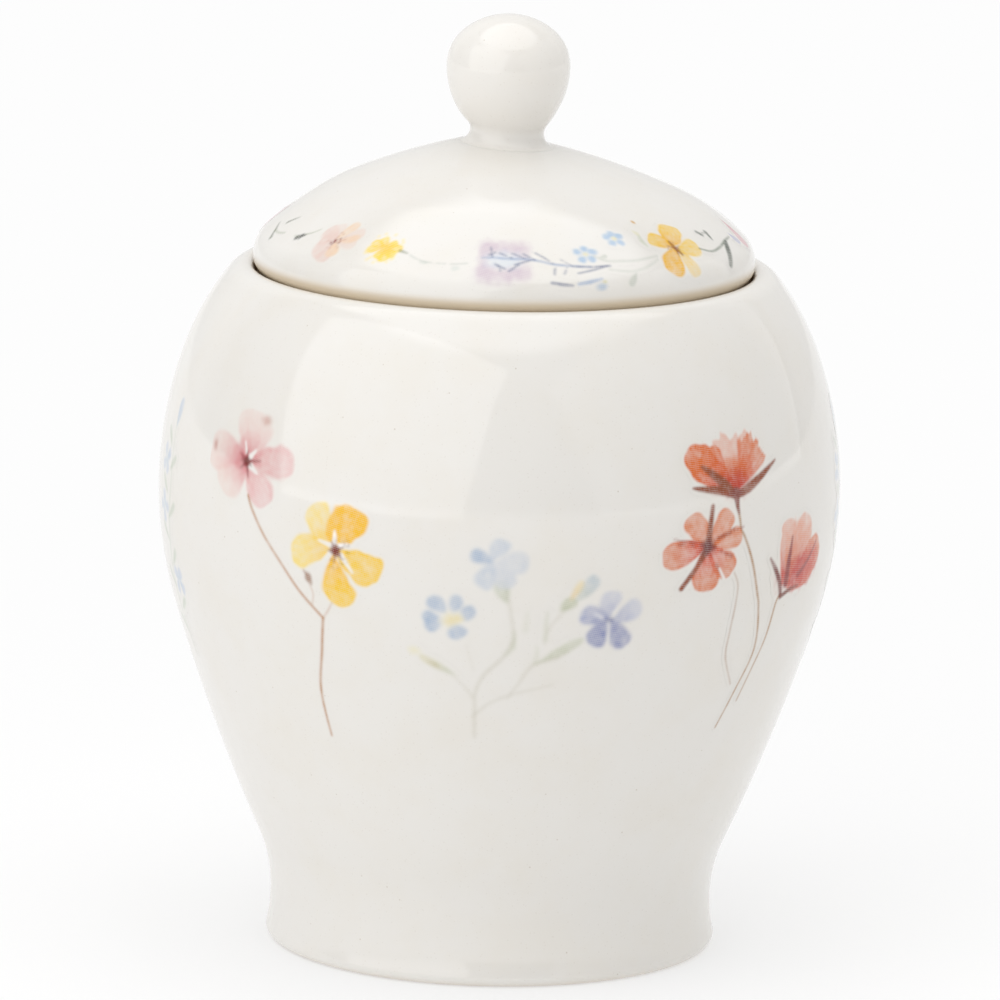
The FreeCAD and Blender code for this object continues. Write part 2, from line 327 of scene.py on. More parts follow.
GLAZE = (0.798, 0.776, 0.737, 1.0)
GLAZE_WARM = (0.788, 0.758, 0.704, 1.0)
# The knob's glaze is a lighter copy of the body's glaze: painted light, for the stronger light that falls
# on the top of the knob.
KNOB_GLAZE_PAINTED_LIGHT = (0.838, 0.813, 0.770, 1.0)
KNOB_GLAZE_WARM_PAINTED_LIGHT = (0.832, 0.800, 0.747, 1.0)
SPECK = (0.36, 0.27, 0.17, 1.0)
SPECK_CORE = 0.55  # share of a speck's radius that has its full strength
# Thinned glaze over the clay. At the lid's rolled edge this dark warm tone is also painted shade over the
# gap.
THIN_GLAZE_AND_SHADE = (0.64, 0.535, 0.39, 1.0)
CLAY = (0.43, 0.30, 0.18, 1.0)
CLAY_DARK = (0.31, 0.21, 0.12, 1.0)
DOT_PITCH = 0.30  # distance between the rows of dots in the print
DOT_SLANT = 0.20  # slope of those rows
DOT_CONTRAST = 0.16
GLAZE_RELIEF = 0.00006  # metres
CLAY_RELIEF = 0.00012  # metres


def ceramic(name, bare=False, printed=False, glaze=(GLAZE, GLAZE_WARM)):
    """Glossy off-white glaze over clay, with faint specks, slow mottling and a slightly uneven gloss.

    bare: a "bare" attribute on the mesh says where the clay is left without glaze, and a
    "thin_glaze_and_shade" attribute where the glaze runs thinner and the clay shows through. At the
    lid's rolled edge that warm dark tint is also painted shade over the gap, and the dark bare clay on
    the seats is also painted shade in that gap.
    printed: a "paint" attribute holds ink colour, and "ink" its strength, under the same glaze.
    """
    material, n = new_material(name)
    where = n.add("ShaderNodeTexCoord").outputs["Object"]
    mottle = n.noise(where, 90.0, detail=5.0, roughness=0.6)
    colour = n.mix(n.span(mottle, 0.35, 0.75), *glaze)
    fine = n.specks(where, 1500.0, radius=0.20, share=0.55)
    coarse = n.specks(where, 520.0, radius=0.085, share=0.10)
    dots = n.plus(n.times(fine, 0.10), n.times(coarse, 0.34), clamp=True)
    colour = n.mix(dots, colour, SPECK)
    if bare:
        colour = n.mix(n.attribute("thin_glaze_and_shade"), colour, THIN_GLAZE_AND_SHADE)
    if printed:
        across, along = n.attribute("across"), n.attribute("along")
        rows = n.plus(along, n.times(across, DOT_SLANT))
        files = n.math("SUBTRACT", across, n.times(along, DOT_SLANT))
        rows, files = (n.math("SINE", n.times(lines, TURN / DOT_PITCH), 0.0) for lines in (rows, files))
        screen = n.times(n.plus(n.times(rows, 0.7), n.times(files, 0.3)), DOT_CONTRAST)
        strength = n.times(n.attribute("ink"), n.plus(screen, 0.96))
        wash = n.noise(where, 900.0, detail=3.0, roughness=0.6)
        strength = n.times(strength, n.span(wash, 0.30, 0.70, 0.90, 1.10), clamp=True)
        colour = n.mix(strength, colour, n.attribute("paint", "Color"))
    gloss = n.noise(where, 60.0)
    peel = n.noise(where, 210.0, detail=1.0)
    pits = n.specks(where, 260.0, radius=0.16, share=0.10)
    relief = n.math("SUBTRACT", peel, n.times(pits, 0.5))
    shader = n.add("ShaderNodeBsdfPrincipled", {
        "IOR": 1.56, "Base Color": colour, "Roughness": n.span(gloss, 0.3, 0.7, 0.060, 0.095),
        "Normal": n.bump(relief, 0.25, GLAZE_RELIEF)})
    if bare:
        torn = n.math("SUBTRACT", n.noise(where, 500.0), 0.5)
        ragged = n.plus(n.attribute("bare"), n.times(torn, 0.6))
        grit = n.noise(where, 1500.0, detail=4.0, roughness=0.7)
        matte = n.add("ShaderNodeBsdfPrincipled", {
            "Roughness": 0.85, "Base Color": n.mix(n.span(grit, 0.35, 0.70), CLAY, CLAY_DARK),
            "Normal": n.bump(grit, 0.7, CLAY_RELIEF)})
        shader = n.blend_shaders(n.span(ragged, 0.40, 0.60), shader, matte)
    n.finish(shader)
    return material


def set_attribute(piece, name, values):
    """Stores one number for each of the piece's points."""
    layer = piece.data.attributes.new(name, "FLOAT", "POINT")
    layer.data.foreach_set("value", np.asarray(values, dtype=np.float32))


def heights(piece):
    """The height and the radius of each of the piece's points."""
    flat = np.empty(len(piece.data.vertices) * 3, dtype=np.float32)
    piece.data.vertices.foreach_get("co", flat)
    points = flat.reshape(-1, 3) / MM
    return points[:, 2], np.hypot(points[:, 0], points[:, 1])


# ------------------------------------------------------------------ printed flowers
CELL = 0.14  # size of the print's smallest patch of ink
FILM_TOPS = (0.010, 0.016, 0.022)  # how far each layer of print stands out of the glaze
FILM_BACKS = (0.044, 0.050, 0.056)  # and how far it reaches in
DISPLAY_GAMMA = 2.2
GLAZE_SHEEN = 0.05  # what the shine of the glaze adds over the ink
INK_DEPTH = 0.94
FAINTEST_INK = 0.012
CLEAR_RINGS = 2  # rings of clear cells round the ink
CORNER_PASSES = 4  # passes that fill cells which touch only at a corner
PEAK = 0.70  # how far along a petal its widest part is
PATCHES = 64  # patches each way before they repeat
LONGEST_STEP = 0.35  # between the points of a brushed line


def tint(red, green, blue):
    """The colour of ink that looks like this display colour, from 0 to 255, under the bowl's glaze."""
    shown = np.array([red, green, blue], dtype=float) / 255.0
    return np.clip((shown ** DISPLAY_GAMMA - GLAZE_SHEEN) * INK_DEPTH, 0.003, 1.0)


def patchy(u, v, size, seed):
    """Smooth random patches from 0 to 1, about size millimetres across."""
    table = np.random.default_rng(seed).random((PATCHES, PATCHES))
    a, b = u / size + 31.7, v / size + 17.3
    ai, bi = np.floor(a).astype(int), np.floor(b).astype(int)
    af, bf = smooth(0.0, 1.0, a - ai), smooth(0.0, 1.0, b - bi)
    left, right, low, high = ai % PATCHES, (ai + 1) % PATCHES, bi % PATCHES, (bi + 1) % PATCHES
    below = table[left, low] * (1 - af) + table[right, low] * af
    above = table[left, high] * (1 - af) + table[right, high] * af
    return below * (1 - bf) + above * bf


def inks_between(inner, outer, share):
    """Inks from inner, where share is 0, to outer, where it is 1."""
    return inner * (1 - share[..., None]) + outer * share[..., None]


class Sheet:
    """A patch of print laid out flat, u to the right and v up, in millimetres from its middle."""

    def __init__(self, left, right, low, high, seed):
        self.u, self.v = np.meshgrid(np.arange(left, right, CELL), np.arange(low, high, CELL))
        self.colour = np.ones(self.u.shape + (3,))
        self.cover = np.zeros(self.u.shape)
        self.seed = seed
        self.draws = np.random.default_rng(seed)
        self.wash = 0.6 * patchy(self.u, self.v, 1.7, seed) + 0.4 * patchy(self.u, self.v, 0.6, seed + 1)

    def window(self, u0, u1, v0, v1):
        """The part of the sheet inside this box, as a pair of slices."""
        left, low = self.u[0, 0], self.v[0, 0]
        rows, columns = self.u.shape
        first = max(0, int((v0 - low) / CELL)), max(0, int((u0 - left) / CELL))
        last = min(rows, int((v1 - low) / CELL) + 2), min(columns, int((u1 - left) / CELL) + 2)
        return slice(first[0], max(first[0], last[0])), slice(first[1], max(first[1], last[1]))

    def lay(self, part, colour, mask):
        """Lays ink over what is there."""
        mask = np.clip(mask, 0.0, 1.0)
        under = self.cover[part] * (1 - mask)
        total = mask + under
        mixed = colour * mask[..., None] + self.colour[part] * under[..., None]
        self.colour[part] = mixed / np.maximum(total, 1e-6)[..., None]
        self.cover[part] = total

    def petal(self, base, tip, width, inner, outer, strength=0.8, soft=0.4, blunt=0.4, fading=0.0):
        """A rounded petal. Ink pools at its rim, streaks run along it, and fading pales its tip."""
        bu, bv = base
        du, dv = tip[0] - bu, tip[1] - bv
        length = math.hypot(du, dv)
        part = self.window(min(bu, tip[0]) - width, max(bu, tip[0]) + width,
                           min(bv, tip[1]) - width, max(bv, tip[1]) + width)
        u, v = self.u[part] - bu, self.v[part] - bv
        along = (u * du + v * dv) / length ** 2
        across = (v * du - u * dv) / length
        turn = self.draws.integers(1000)
        bent = across + 0.10 * width * np.sin(along * 2.6 + turn)
        t = np.clip(along, 0.0, 1.0)
        lean = PEAK / (1 - PEAK) * blunt
        shape = t ** lean * (1 - t) ** blunt / (PEAK ** lean * (1 - PEAK) ** blunt)
        shape = np.maximum(shape, 0.16 * smooth(0.0, 0.03, along) * smooth(1.0, 0.8, along))
        ragged = 1 + 0.24 * (patchy(self.u[part], self.v[part], 1.3, turn) - 0.5)
        inside = (shape * ragged * width / 2 - np.abs(bent)) * smooth(-0.02, 0.04, along)
        mask = smooth(-soft * 0.35, soft * 0.65, inside) * smooth(-0.02, 0.05, along)
        mask = mask * smooth(1.02, 0.97, along) * (1 - fading * smooth(0.45, 1.0, along))
        rim = np.exp(-np.abs(inside - 0.30) / 0.28)
        streak = patchy(bent * 1.7, along * length * 0.45, 0.55, turn + 3)
        depth = 0.62 + 0.42 * self.wash[part] + 0.20 * rim + 0.22 * (streak - 0.5)
        self.lay(part, inks_between(inner, outer, smooth(0.15, 0.85, along)), mask * strength * depth)

    def fan(self, base, heading, spread, reach, inner, outer, strength=0.85, ragged=0.10, fading=0.0):
        """A petal seen from the side: a fan with a torn top edge."""
        bu, bv = base
        part = self.window(bu - reach * 1.15, bu + reach * 1.15, bv - reach * 1.15, bv + reach * 1.15)
        u, v = self.u[part] - bu, self.v[part] - bv
        turn = self.draws.integers(1000)
        off = (np.arctan2(v, u) - math.radians(heading) + math.pi) % TURN - math.pi
        side = off / math.radians(spread)
        distance = np.hypot(u, v)
        torn = patchy(side * 3.2, 0 * side, 0.55, turn) - 0.5
        torn = torn + 0.6 * (patchy(side * 3.2, 0 * side, 0.2, turn + 1) - 0.5)
        edge = reach * (1 - 0.16 * side ** 2 + ragged * 1.8 * torn)
        bulge = 1.0 - 0.55 * smooth(0.35, 0.0, distance / reach)
        room = (bulge - np.abs(side)) * distance * math.radians(spread)
        mask = smooth(-0.15, 0.30, room) * smooth(-0.20, 0.35 + fading * reach, edge - distance)
        mask = mask * smooth(0.0, 0.5, distance)
        streak = patchy(side * 5.0, distance * 0.25, 0.6, turn + 2)
        rim = np.exp(-np.abs(np.minimum(room, edge - distance) - 0.3) / 0.35)
        depth = 0.60 + 0.40 * self.wash[part] + 0.16 * rim + 0.34 * (streak - 0.5)
        self.lay(part, inks_between(inner, outer, smooth(0.10, 0.95, distance / reach)),
                 mask * strength * depth)

    def stroke(self, points, widths, colour, strength=0.8, soft=0.10, broken=0.0):
        """A brushed line through the points, with a width at each."""
        knots = np.array([points[0], *points, points[-1]], dtype=float)
        sizes = np.interp(np.linspace(0, 1, len(points)), np.linspace(0, 1, len(widths)), widths)
        path, wide = [], []
        for k in range(len(points) - 1):
            a, b, c, d = knots[k:k + 4]
            count = max(2, int(np.hypot(*(c - b)) / LONGEST_STEP))
            for t in np.arange(count) / count:
                path.append(0.5 * (2 * b + (c - a) * t + (2 * a - 5 * b + 4 * c - d) * t ** 2
                                   + (3 * b - a - 3 * c + d) * t ** 3))
                wide.append(sizes[k] * (1 - t) + sizes[k + 1] * t)
        path.append(knots[-2])
        wide.append(sizes[-1])
        path, wide = np.array(path), np.array(wide)
        margin = wide.max() + 0.5
        part = self.window(path[:, 0].min() - margin, path[:, 0].max() + margin,
                           path[:, 1].min() - margin, path[:, 1].max() + margin)
        mask = np.zeros(self.u[part].shape)
        u, v = self.u[part], self.v[part]
        for k in range(len(path) - 1):
            (au, av), (cu, cv) = path[k], path[k + 1]
            eu, ev = cu - au, cv - av
            near = np.abs(u - (au + cu) / 2) < margin + abs(eu)
            near = near & (np.abs(v - (av + cv) / 2) < margin + abs(ev))
            pu, pv = u[near] - au, v[near] - av
            t = np.clip((pu * eu + pv * ev) / max(eu * eu + ev * ev, 1e-9), 0, 1)
            gap = np.hypot(pu - t * eu, pv - t * ev)
            half = (wide[k] * (1 - t) + wide[k + 1] * t) / 2
            mask[near] = np.maximum(mask[near], smooth(half + soft, half - soft, gap))
        if broken:
            mask = mask * smooth(broken - 0.25, broken + 0.05, patchy(u, v, 0.35, self.seed + 9))
        depth = 0.80 + 0.40 * (self.wash[part] - 0.5)
        self.lay(part, colour, mask * strength * depth)

    def blot(self, centre, across, tall, colour, strength=0.8, turn=0.0, soft=0.35):
        """A soft-edged spot."""
        reach = max(across, tall)
        part = self.window(centre[0] - reach, centre[0] + reach, centre[1] - reach, centre[1] + reach)
        u, v = self.u[part] - centre[0], self.v[part] - centre[1]
        c, s = math.cos(math.radians(turn)), math.sin(math.radians(turn))
        out = np.hypot((u * c + v * s) / (across / 2), (v * c - u * s) / (tall / 2))
        out = out + 0.5 * (patchy(self.u[part], self.v[part], 0.7, self.seed + 5) - 0.5)
        mask = smooth(1 + soft, 1 - soft, out)
        self.lay(part, colour, mask * strength)

    def dots(self, centre, near, far, count, size, colour, strength=0.8, heading=0.0, spread=180.0):
        """Small specks scattered round a centre."""
        for _ in range(count):
            angle = math.radians(heading + spread * (2 * self.draws.random() - 1))
            reach = near + (far - near) * self.draws.random()
            spot = (centre[0] + reach * math.cos(angle), centre[1] + reach * math.sin(angle))
            self.blot(spot, size, size, colour, strength)

    def lift(self, points, widths, strength=0.8):
        """Takes ink off along a line, for the white between petals."""
        kept = self.cover.copy()
        self.stroke(points, widths, np.ones(3), 1.2, soft=0.14)
        taken = np.clip((self.cover - kept) / np.maximum(1 - kept, 1e-6), 0, 1) * strength
        white = np.all(self.colour > 0.999, axis=-1)
        self.cover = kept * (1 - taken)
        self.colour[white & (kept < 1e-6)] = 1.0

    def fade(self, share):
        """Thins all the ink laid so far."""
        self.cover = self.cover * share

    def soften(self, radius):
        """Blurs the ink, as a print does when it sinks into the glaze."""
        reach = int(math.ceil(2.5 * radius / CELL))
        taps = np.exp(-0.5 * (np.arange(-reach, reach + 1) * CELL / radius) ** 2)
        taps = taps / taps.sum()
        ink = np.concatenate([self.colour * self.cover[..., None], self.cover[..., None]], axis=-1)
        for axis in (0, 1):
            count = ink.shape[axis]
            wide = np.pad(ink, [(reach, reach) if axis == k else (0, 0) for k in range(3)])
            ink = sum(tap * wide.take(range(k, k + count), axis=axis) for k, tap in enumerate(taps))
        self.cover = ink[..., 3]
        self.colour = np.where(ink[..., 3:] > 1e-5, ink[..., :3] / np.maximum(ink[..., 3:], 1e-5), 1.0)


def flower(sheet, centre, petals, inner, outer, strength=0.8, **options):
    """Petals round a centre, each given by its tip's offset from the centre and its width."""
    for du, dv, width in petals:
        sheet.petal(centre, (centre[0] + du, centre[1] + dv), width, inner, outer, strength, **options)


def odd_petals(sheet, centre, petals):
    """Petals that differ: tip's offset, width, inner and outer ink, strength, softness, bluntness."""
    for du, dv, width, inner, outer, strength, soft, blunt in petals:
        flower(sheet, centre, ((du, dv, width),), inner, outer, strength, soft=soft, blunt=blunt)


def star(sheet, centre, rays, width, colour, strength=0.85):
    """Short tapering strokes from a centre, each given by its heading and length."""
    for heading, reach in rays:
        a = math.radians(heading)
        tip = (centre[0] + reach * math.cos(a), centre[1] + reach * math.sin(a))
        sheet.stroke([centre, tip], [width, 0.16], colour, strength)


def strokes(sheet, rows, colour, **options):
    """Strokes in one ink, each given by its points, its widths and its strength."""
    for points, widths, strength in rows:
        sheet.stroke(points, widths, colour, strength, **options)


def lifts(sheet, lines, last_width, strength):
    """Short white lines, each given by its two ends and the width it starts with."""
    for start, end, first_width in lines:
        sheet.lift([start, end], [first_width, last_width], strength)


def leaf_marks(sheet, marks, colour, strength=0.85):
    """Small dark leaves, each a short thick stroke from one point to another."""
    for start, end, width in marks:
        sheet.stroke([start, end], [width, width * 0.4], colour, strength, soft=0.12, broken=0.15)


def rose_and_buttercup(sheet):
    """A pale pink flower and a yellow one on thin brown stems."""
    knot, dark = tint(152, 104, 74), tint(126, 64, 24)
    strokes(sheet, (
        ([(-14, 14.2), (-13.1, 12.4), (-10.6, 8.9), (-7.2, 5), (-4.4, 1.6), (-2.2, -0.6), (-0.3, -2.4)],
         [0.4, 0.3, 0.34, 0.36], 1.05),
        ([(1.4, 0.2), (0.6, -1.2), (-0.3, -2.4)], [0.22, 0.28], 0.6),
        ([(-0.3, -2.4), (-1.2, -7.7), (-2.6, -14.6), (-2.2, -22.2)], [0.4, 0.35, 0.34, 0.3], 1.05),
        ([(-2.2, 2.4), (-1.7, 1.2), (-2, -0.6)], [0.18, 0.16], 0.6)), tint(184, 122, 62))
    sheet.blot((-2.4, 3.5), 1.1, 2, knot, 0.7, turn=20)
    sheet.stroke([(-3.2, 4.6), (-2.7, 3.9)], [0.3, 0.45], knot, 0.65)
    rose = (-15, 19.1)
    blush, pale = tint(240, 212, 204), tint(234, 184, 182)
    for petals, inner, outer, strength, soft, fading in (
            (((0.2, 7.6, 7.6),), pale, blush, 0.66, 1, 0.25),
            (((-9.1, 1.7, 6.2), (-4.9, -5.2, 6.4)), tint(230, 168, 170), blush, 0.8, 1, 0.25),
            (((4.4, -6.2, 5.2), (9.2, 1.7, 5.4)), pale, tint(234, 180, 180), 0.8, 0.8, 0.2),
            (((0.2, 4.6, 4.4), (-4.8, 0.9, 3.4), (-2.8, -3.1, 3.2), (2.4, -3.6, 2.8), (4.8, 0.8, 2.8)),
             tint(218, 122, 132), pale, 0.6, 0.9, 0.6)):
        flower(sheet, rose, petals, inner, outer, strength, soft=soft, fading=fading)
    sheet.blot((-15.2, 19.6), 4.6, 3.8, tint(208, 96, 96), 0.26, soft=0.9)
    lifts(sheet, (((-14.3, 19.9), (-13.4, 20.9), 0.9), ((-14, 18.4), (-12.6, 17.6), 1),
                  ((-15.3, 20.3), (-15.9, 21.8), 0.4)), 0.3, 0.8)
    star(sheet, rose, ((8, 2.9), (95, 1.6), (150, 1.9), (180, 1.5), (225, 1.8), (285, 2.5), (330, 1.3)),
         0.66, dark)
    sheet.blot(rose, 1.3, 1.5, dark)
    sheet.blot((-12.2, 25.5), 2, 1.3, tint(190, 116, 98), 0.42, soft=0.8)
    sheet.blot((-22.9, 20.2), 1, 1.8, tint(186, 106, 92), 0.42, soft=0.7)
    lemon, gold, deep = tint(252, 226, 140), tint(252, 208, 78), tint(252, 196, 44)
    buttercup = (2.2, 8.3)
    odd_petals(sheet, buttercup, (
        (-4.5, 6, 4.9, gold, lemon, 0.86, 0.6, 0.4), (2.8, 6.6, 6, deep, deep, 1.04, 0.6, 0.26),
        (7.2, -2.8, 5.2, gold, gold, 0.98, 0.6, 0.34), (0.8, -8.7, 5.3, deep, gold, 1, 0.6, 0.62),
        (-7.6, -0.9, 5, gold, lemon, 0.92, 0.6, 0.34)))
    lifts(sheet, (((2.8, 9), (4.4, 9.4), 0.8), ((1.5, 8.9), (-0.6, 9.5), 0.8), ((2, 9.3), (2, 11.2), 0.8),
                  ((1.4, 7.8), (-0.4, 5.8), 0.8), ((3.1, 7.6), (4.9, 5.2), 0.8)), 0.25, 0.85)
    sheet.blot(buttercup, 1.7, 1.8, tint(132, 72, 20), 0.9)
    star(sheet, buttercup, ((25, 1.4), (120, 1.5), (190, 1.3), (262, 2), (310, 1.7)), 0.6,
         tint(132, 72, 20))
    sheet.dots(buttercup, 1.5, 2.9, 26, 0.2, tint(120, 84, 40), 0.7, heading=-35, spread=90)
    sheet.dots(buttercup, 1.3, 2.2, 8, 0.2, tint(120, 84, 40), 0.6, heading=60, spread=40)
    sheet.soften(0.16)


def forget_me_nots(sheet):
    """Very pale blue and violet flowers on pale green branching stems."""
    leaf, grey = tint(180, 188, 150), tint(196, 190, 170)
    sheet.stroke([(-3.1, -9.9), (-3.1, -4.4), (-3, -2.3), (-1.7, 0.7), (1.1, 3.7), (2.6, 6.6), (2.4, 8.9),
                  (1.8, 12.6), (1.1, 14.8)], [0.45, 0.42, 0.5, 0.6, 0.42, 0.35], grey, 0.75, soft=0.2)
    sheet.stroke([(1.6, 4.2), (2.6, 5.6), (2.6, 8)], [0.4, 0.8, 0.3], leaf, 0.6, soft=0.3)
    sheet.stroke([(-3.3, -3.1), (-4.9, -1), (-7, 1)], [0.4, 0.3], grey, 0.55, soft=0.2)
    sheet.petal((-5.6, 0.2), (-11.4, 3.6), 1.3, leaf, tint(214, 206, 150), 0.75, soft=0.5)
    sheet.blot((-9.2, 2.1), 2.2, 0.8, tint(176, 160, 80), 0.5, turn=-35, soft=0.6)
    sheet.blot((-12.2, 4.2), 1.8, 1.3, tint(240, 230, 170), 0.5, soft=0.6)
    strokes(sheet, (
        ([(-3.2, 1.4), (-4.4, 5.6)], [0.25, 0.25], 0.4),
        ([(-3.4, -6.3), (-0.9, -4.1), (2.8, -2.4), (8.9, -0.8)], [0.45, 0.4, 0.25], 0.6),
        ([(2, -3), (3.5, -0.8), (5.7, 2.5), (9.7, 4), (12.6, 6.6)], [0.35, 0.4, 0.7, 0.4], 0.7)),
        grey, soft=0.2)
    sheet.petal((6, 2.4), (13, 6.8), 1.6, leaf, tint(196, 202, 172), 0.75, soft=0.5)
    sheet.stroke([(5.9, 2.8), (6.2, 4.4), (6, 5.6)], [0.6, 0.3], leaf, 0.5, soft=0.35)
    sheet.stroke([(7.2, 6), (7.5, 7.9), (8.6, 9.6), (9.9, 11.2)], [0.3, 0.35, 0.45], grey, 0.6, soft=0.2)
    sheet.stroke([(7.3, 6.6), (7.3, 9), (7.4, 11)], [0.5, 0.5, 0.2], leaf, 0.6, soft=0.3)
    sheet.stroke([(4.3, 8.2), (4.5, 11)], [0.9, 0.35], leaf, 0.32, soft=0.4)
    for base, tip, width, inner, outer, strength, soft in (
            ((1.6, 12.2), (0.6, 15.8), 2.3, tint(180, 188, 156), tint(198, 206, 184), 0.75, 0.5),
            ((9.3, 10.9), (11.4, 13), 2, tint(160, 172, 120), tint(180, 188, 146), 0.85, 0.45),
            ((11.4, 12.6), (14.4, 16.4), 2.4, tint(184, 196, 186), tint(176, 194, 206), 0.85, 0.5),
            ((10.6, 12.6), (12.3, 15.8), 1.3, tint(236, 200, 110), tint(244, 222, 160), 0.9, 0.4)):
        sheet.petal(base, tip, width, inner, outer, strength, soft=soft)
    pale, sky, blue = tint(196, 206, 222), tint(176, 194, 218), tint(136, 168, 206)
    top = (-0.4, 18.6)
    flower(sheet, top, ((4.9, -0.6, 3.6), (2.6, -3.8, 3.2)), pale, pale, soft=1)
    flower(sheet, top, ((-2.2, -3.9, 3.2), (1.1, 3.4, 3.2)), sky, sky, soft=0.9)
    flower(sheet, top, ((-3.5, 0.9, 2.3),), blue, blue, 0.85, soft=0.7)
    left = (-6.9, 9.6)
    for du, dv, width in ((-2.7, 3.4, 2.4), (1.6, 3.7, 2.2), (3.9, 1.7, 2.3), (1.5, -3.1, 3),
                          (-3.4, -1.7, 2.4), (-3.9, 0.6, 1.9)):
        start = (left[0] + 0.12 * du, left[1] + 0.12 * dv)
        sheet.petal(start, (left[0] + du, left[1] + dv), width, sky, blue, 0.9, soft=0.6, blunt=0.5)
    sheet.blot((-6.5, 9.6), 3.4, 2.3, tint(246, 240, 220), turn=15, soft=0.4)
    sheet.blot((-6.3, 9.5), 2.7, 1.5, tint(240, 222, 150), 0.85, turn=15, soft=0.5)
    sheet.fade(0.66)
    right = (16.7, 9.4)
    pale, lilac, deep = tint(200, 204, 222), tint(160, 168, 204), tint(136, 144, 188)
    flower(sheet, right, ((0.2, 4.6, 3.2), (5, 1.9, 3.2)), lilac, pale, 0.72, soft=0.8)
    flower(sheet, right, ((-4.5, 1, 3.2),), deep, lilac, 0.78, soft=0.7)
    flower(sheet, right, ((-2.2, -4, 3.4), (3.2, -4, 3.4)), deep, deep, 0.86, soft=0.6)
    sheet.blot(right, 1.2, 1.1, tint(104, 112, 158), 0.6)
    sheet.lift([(16.6, 9), (16.9, 6)], [0.35, 0.2], 0.7)
    sheet.lift([(17.4, 10.6), (18.4, 12)], [0.5, 0.25], 0.6)
    sheet.lift([(15.6, 9.9), (14.4, 10.6)], [0.3, 0.2], 0.4)
    sheet.soften(0.26)


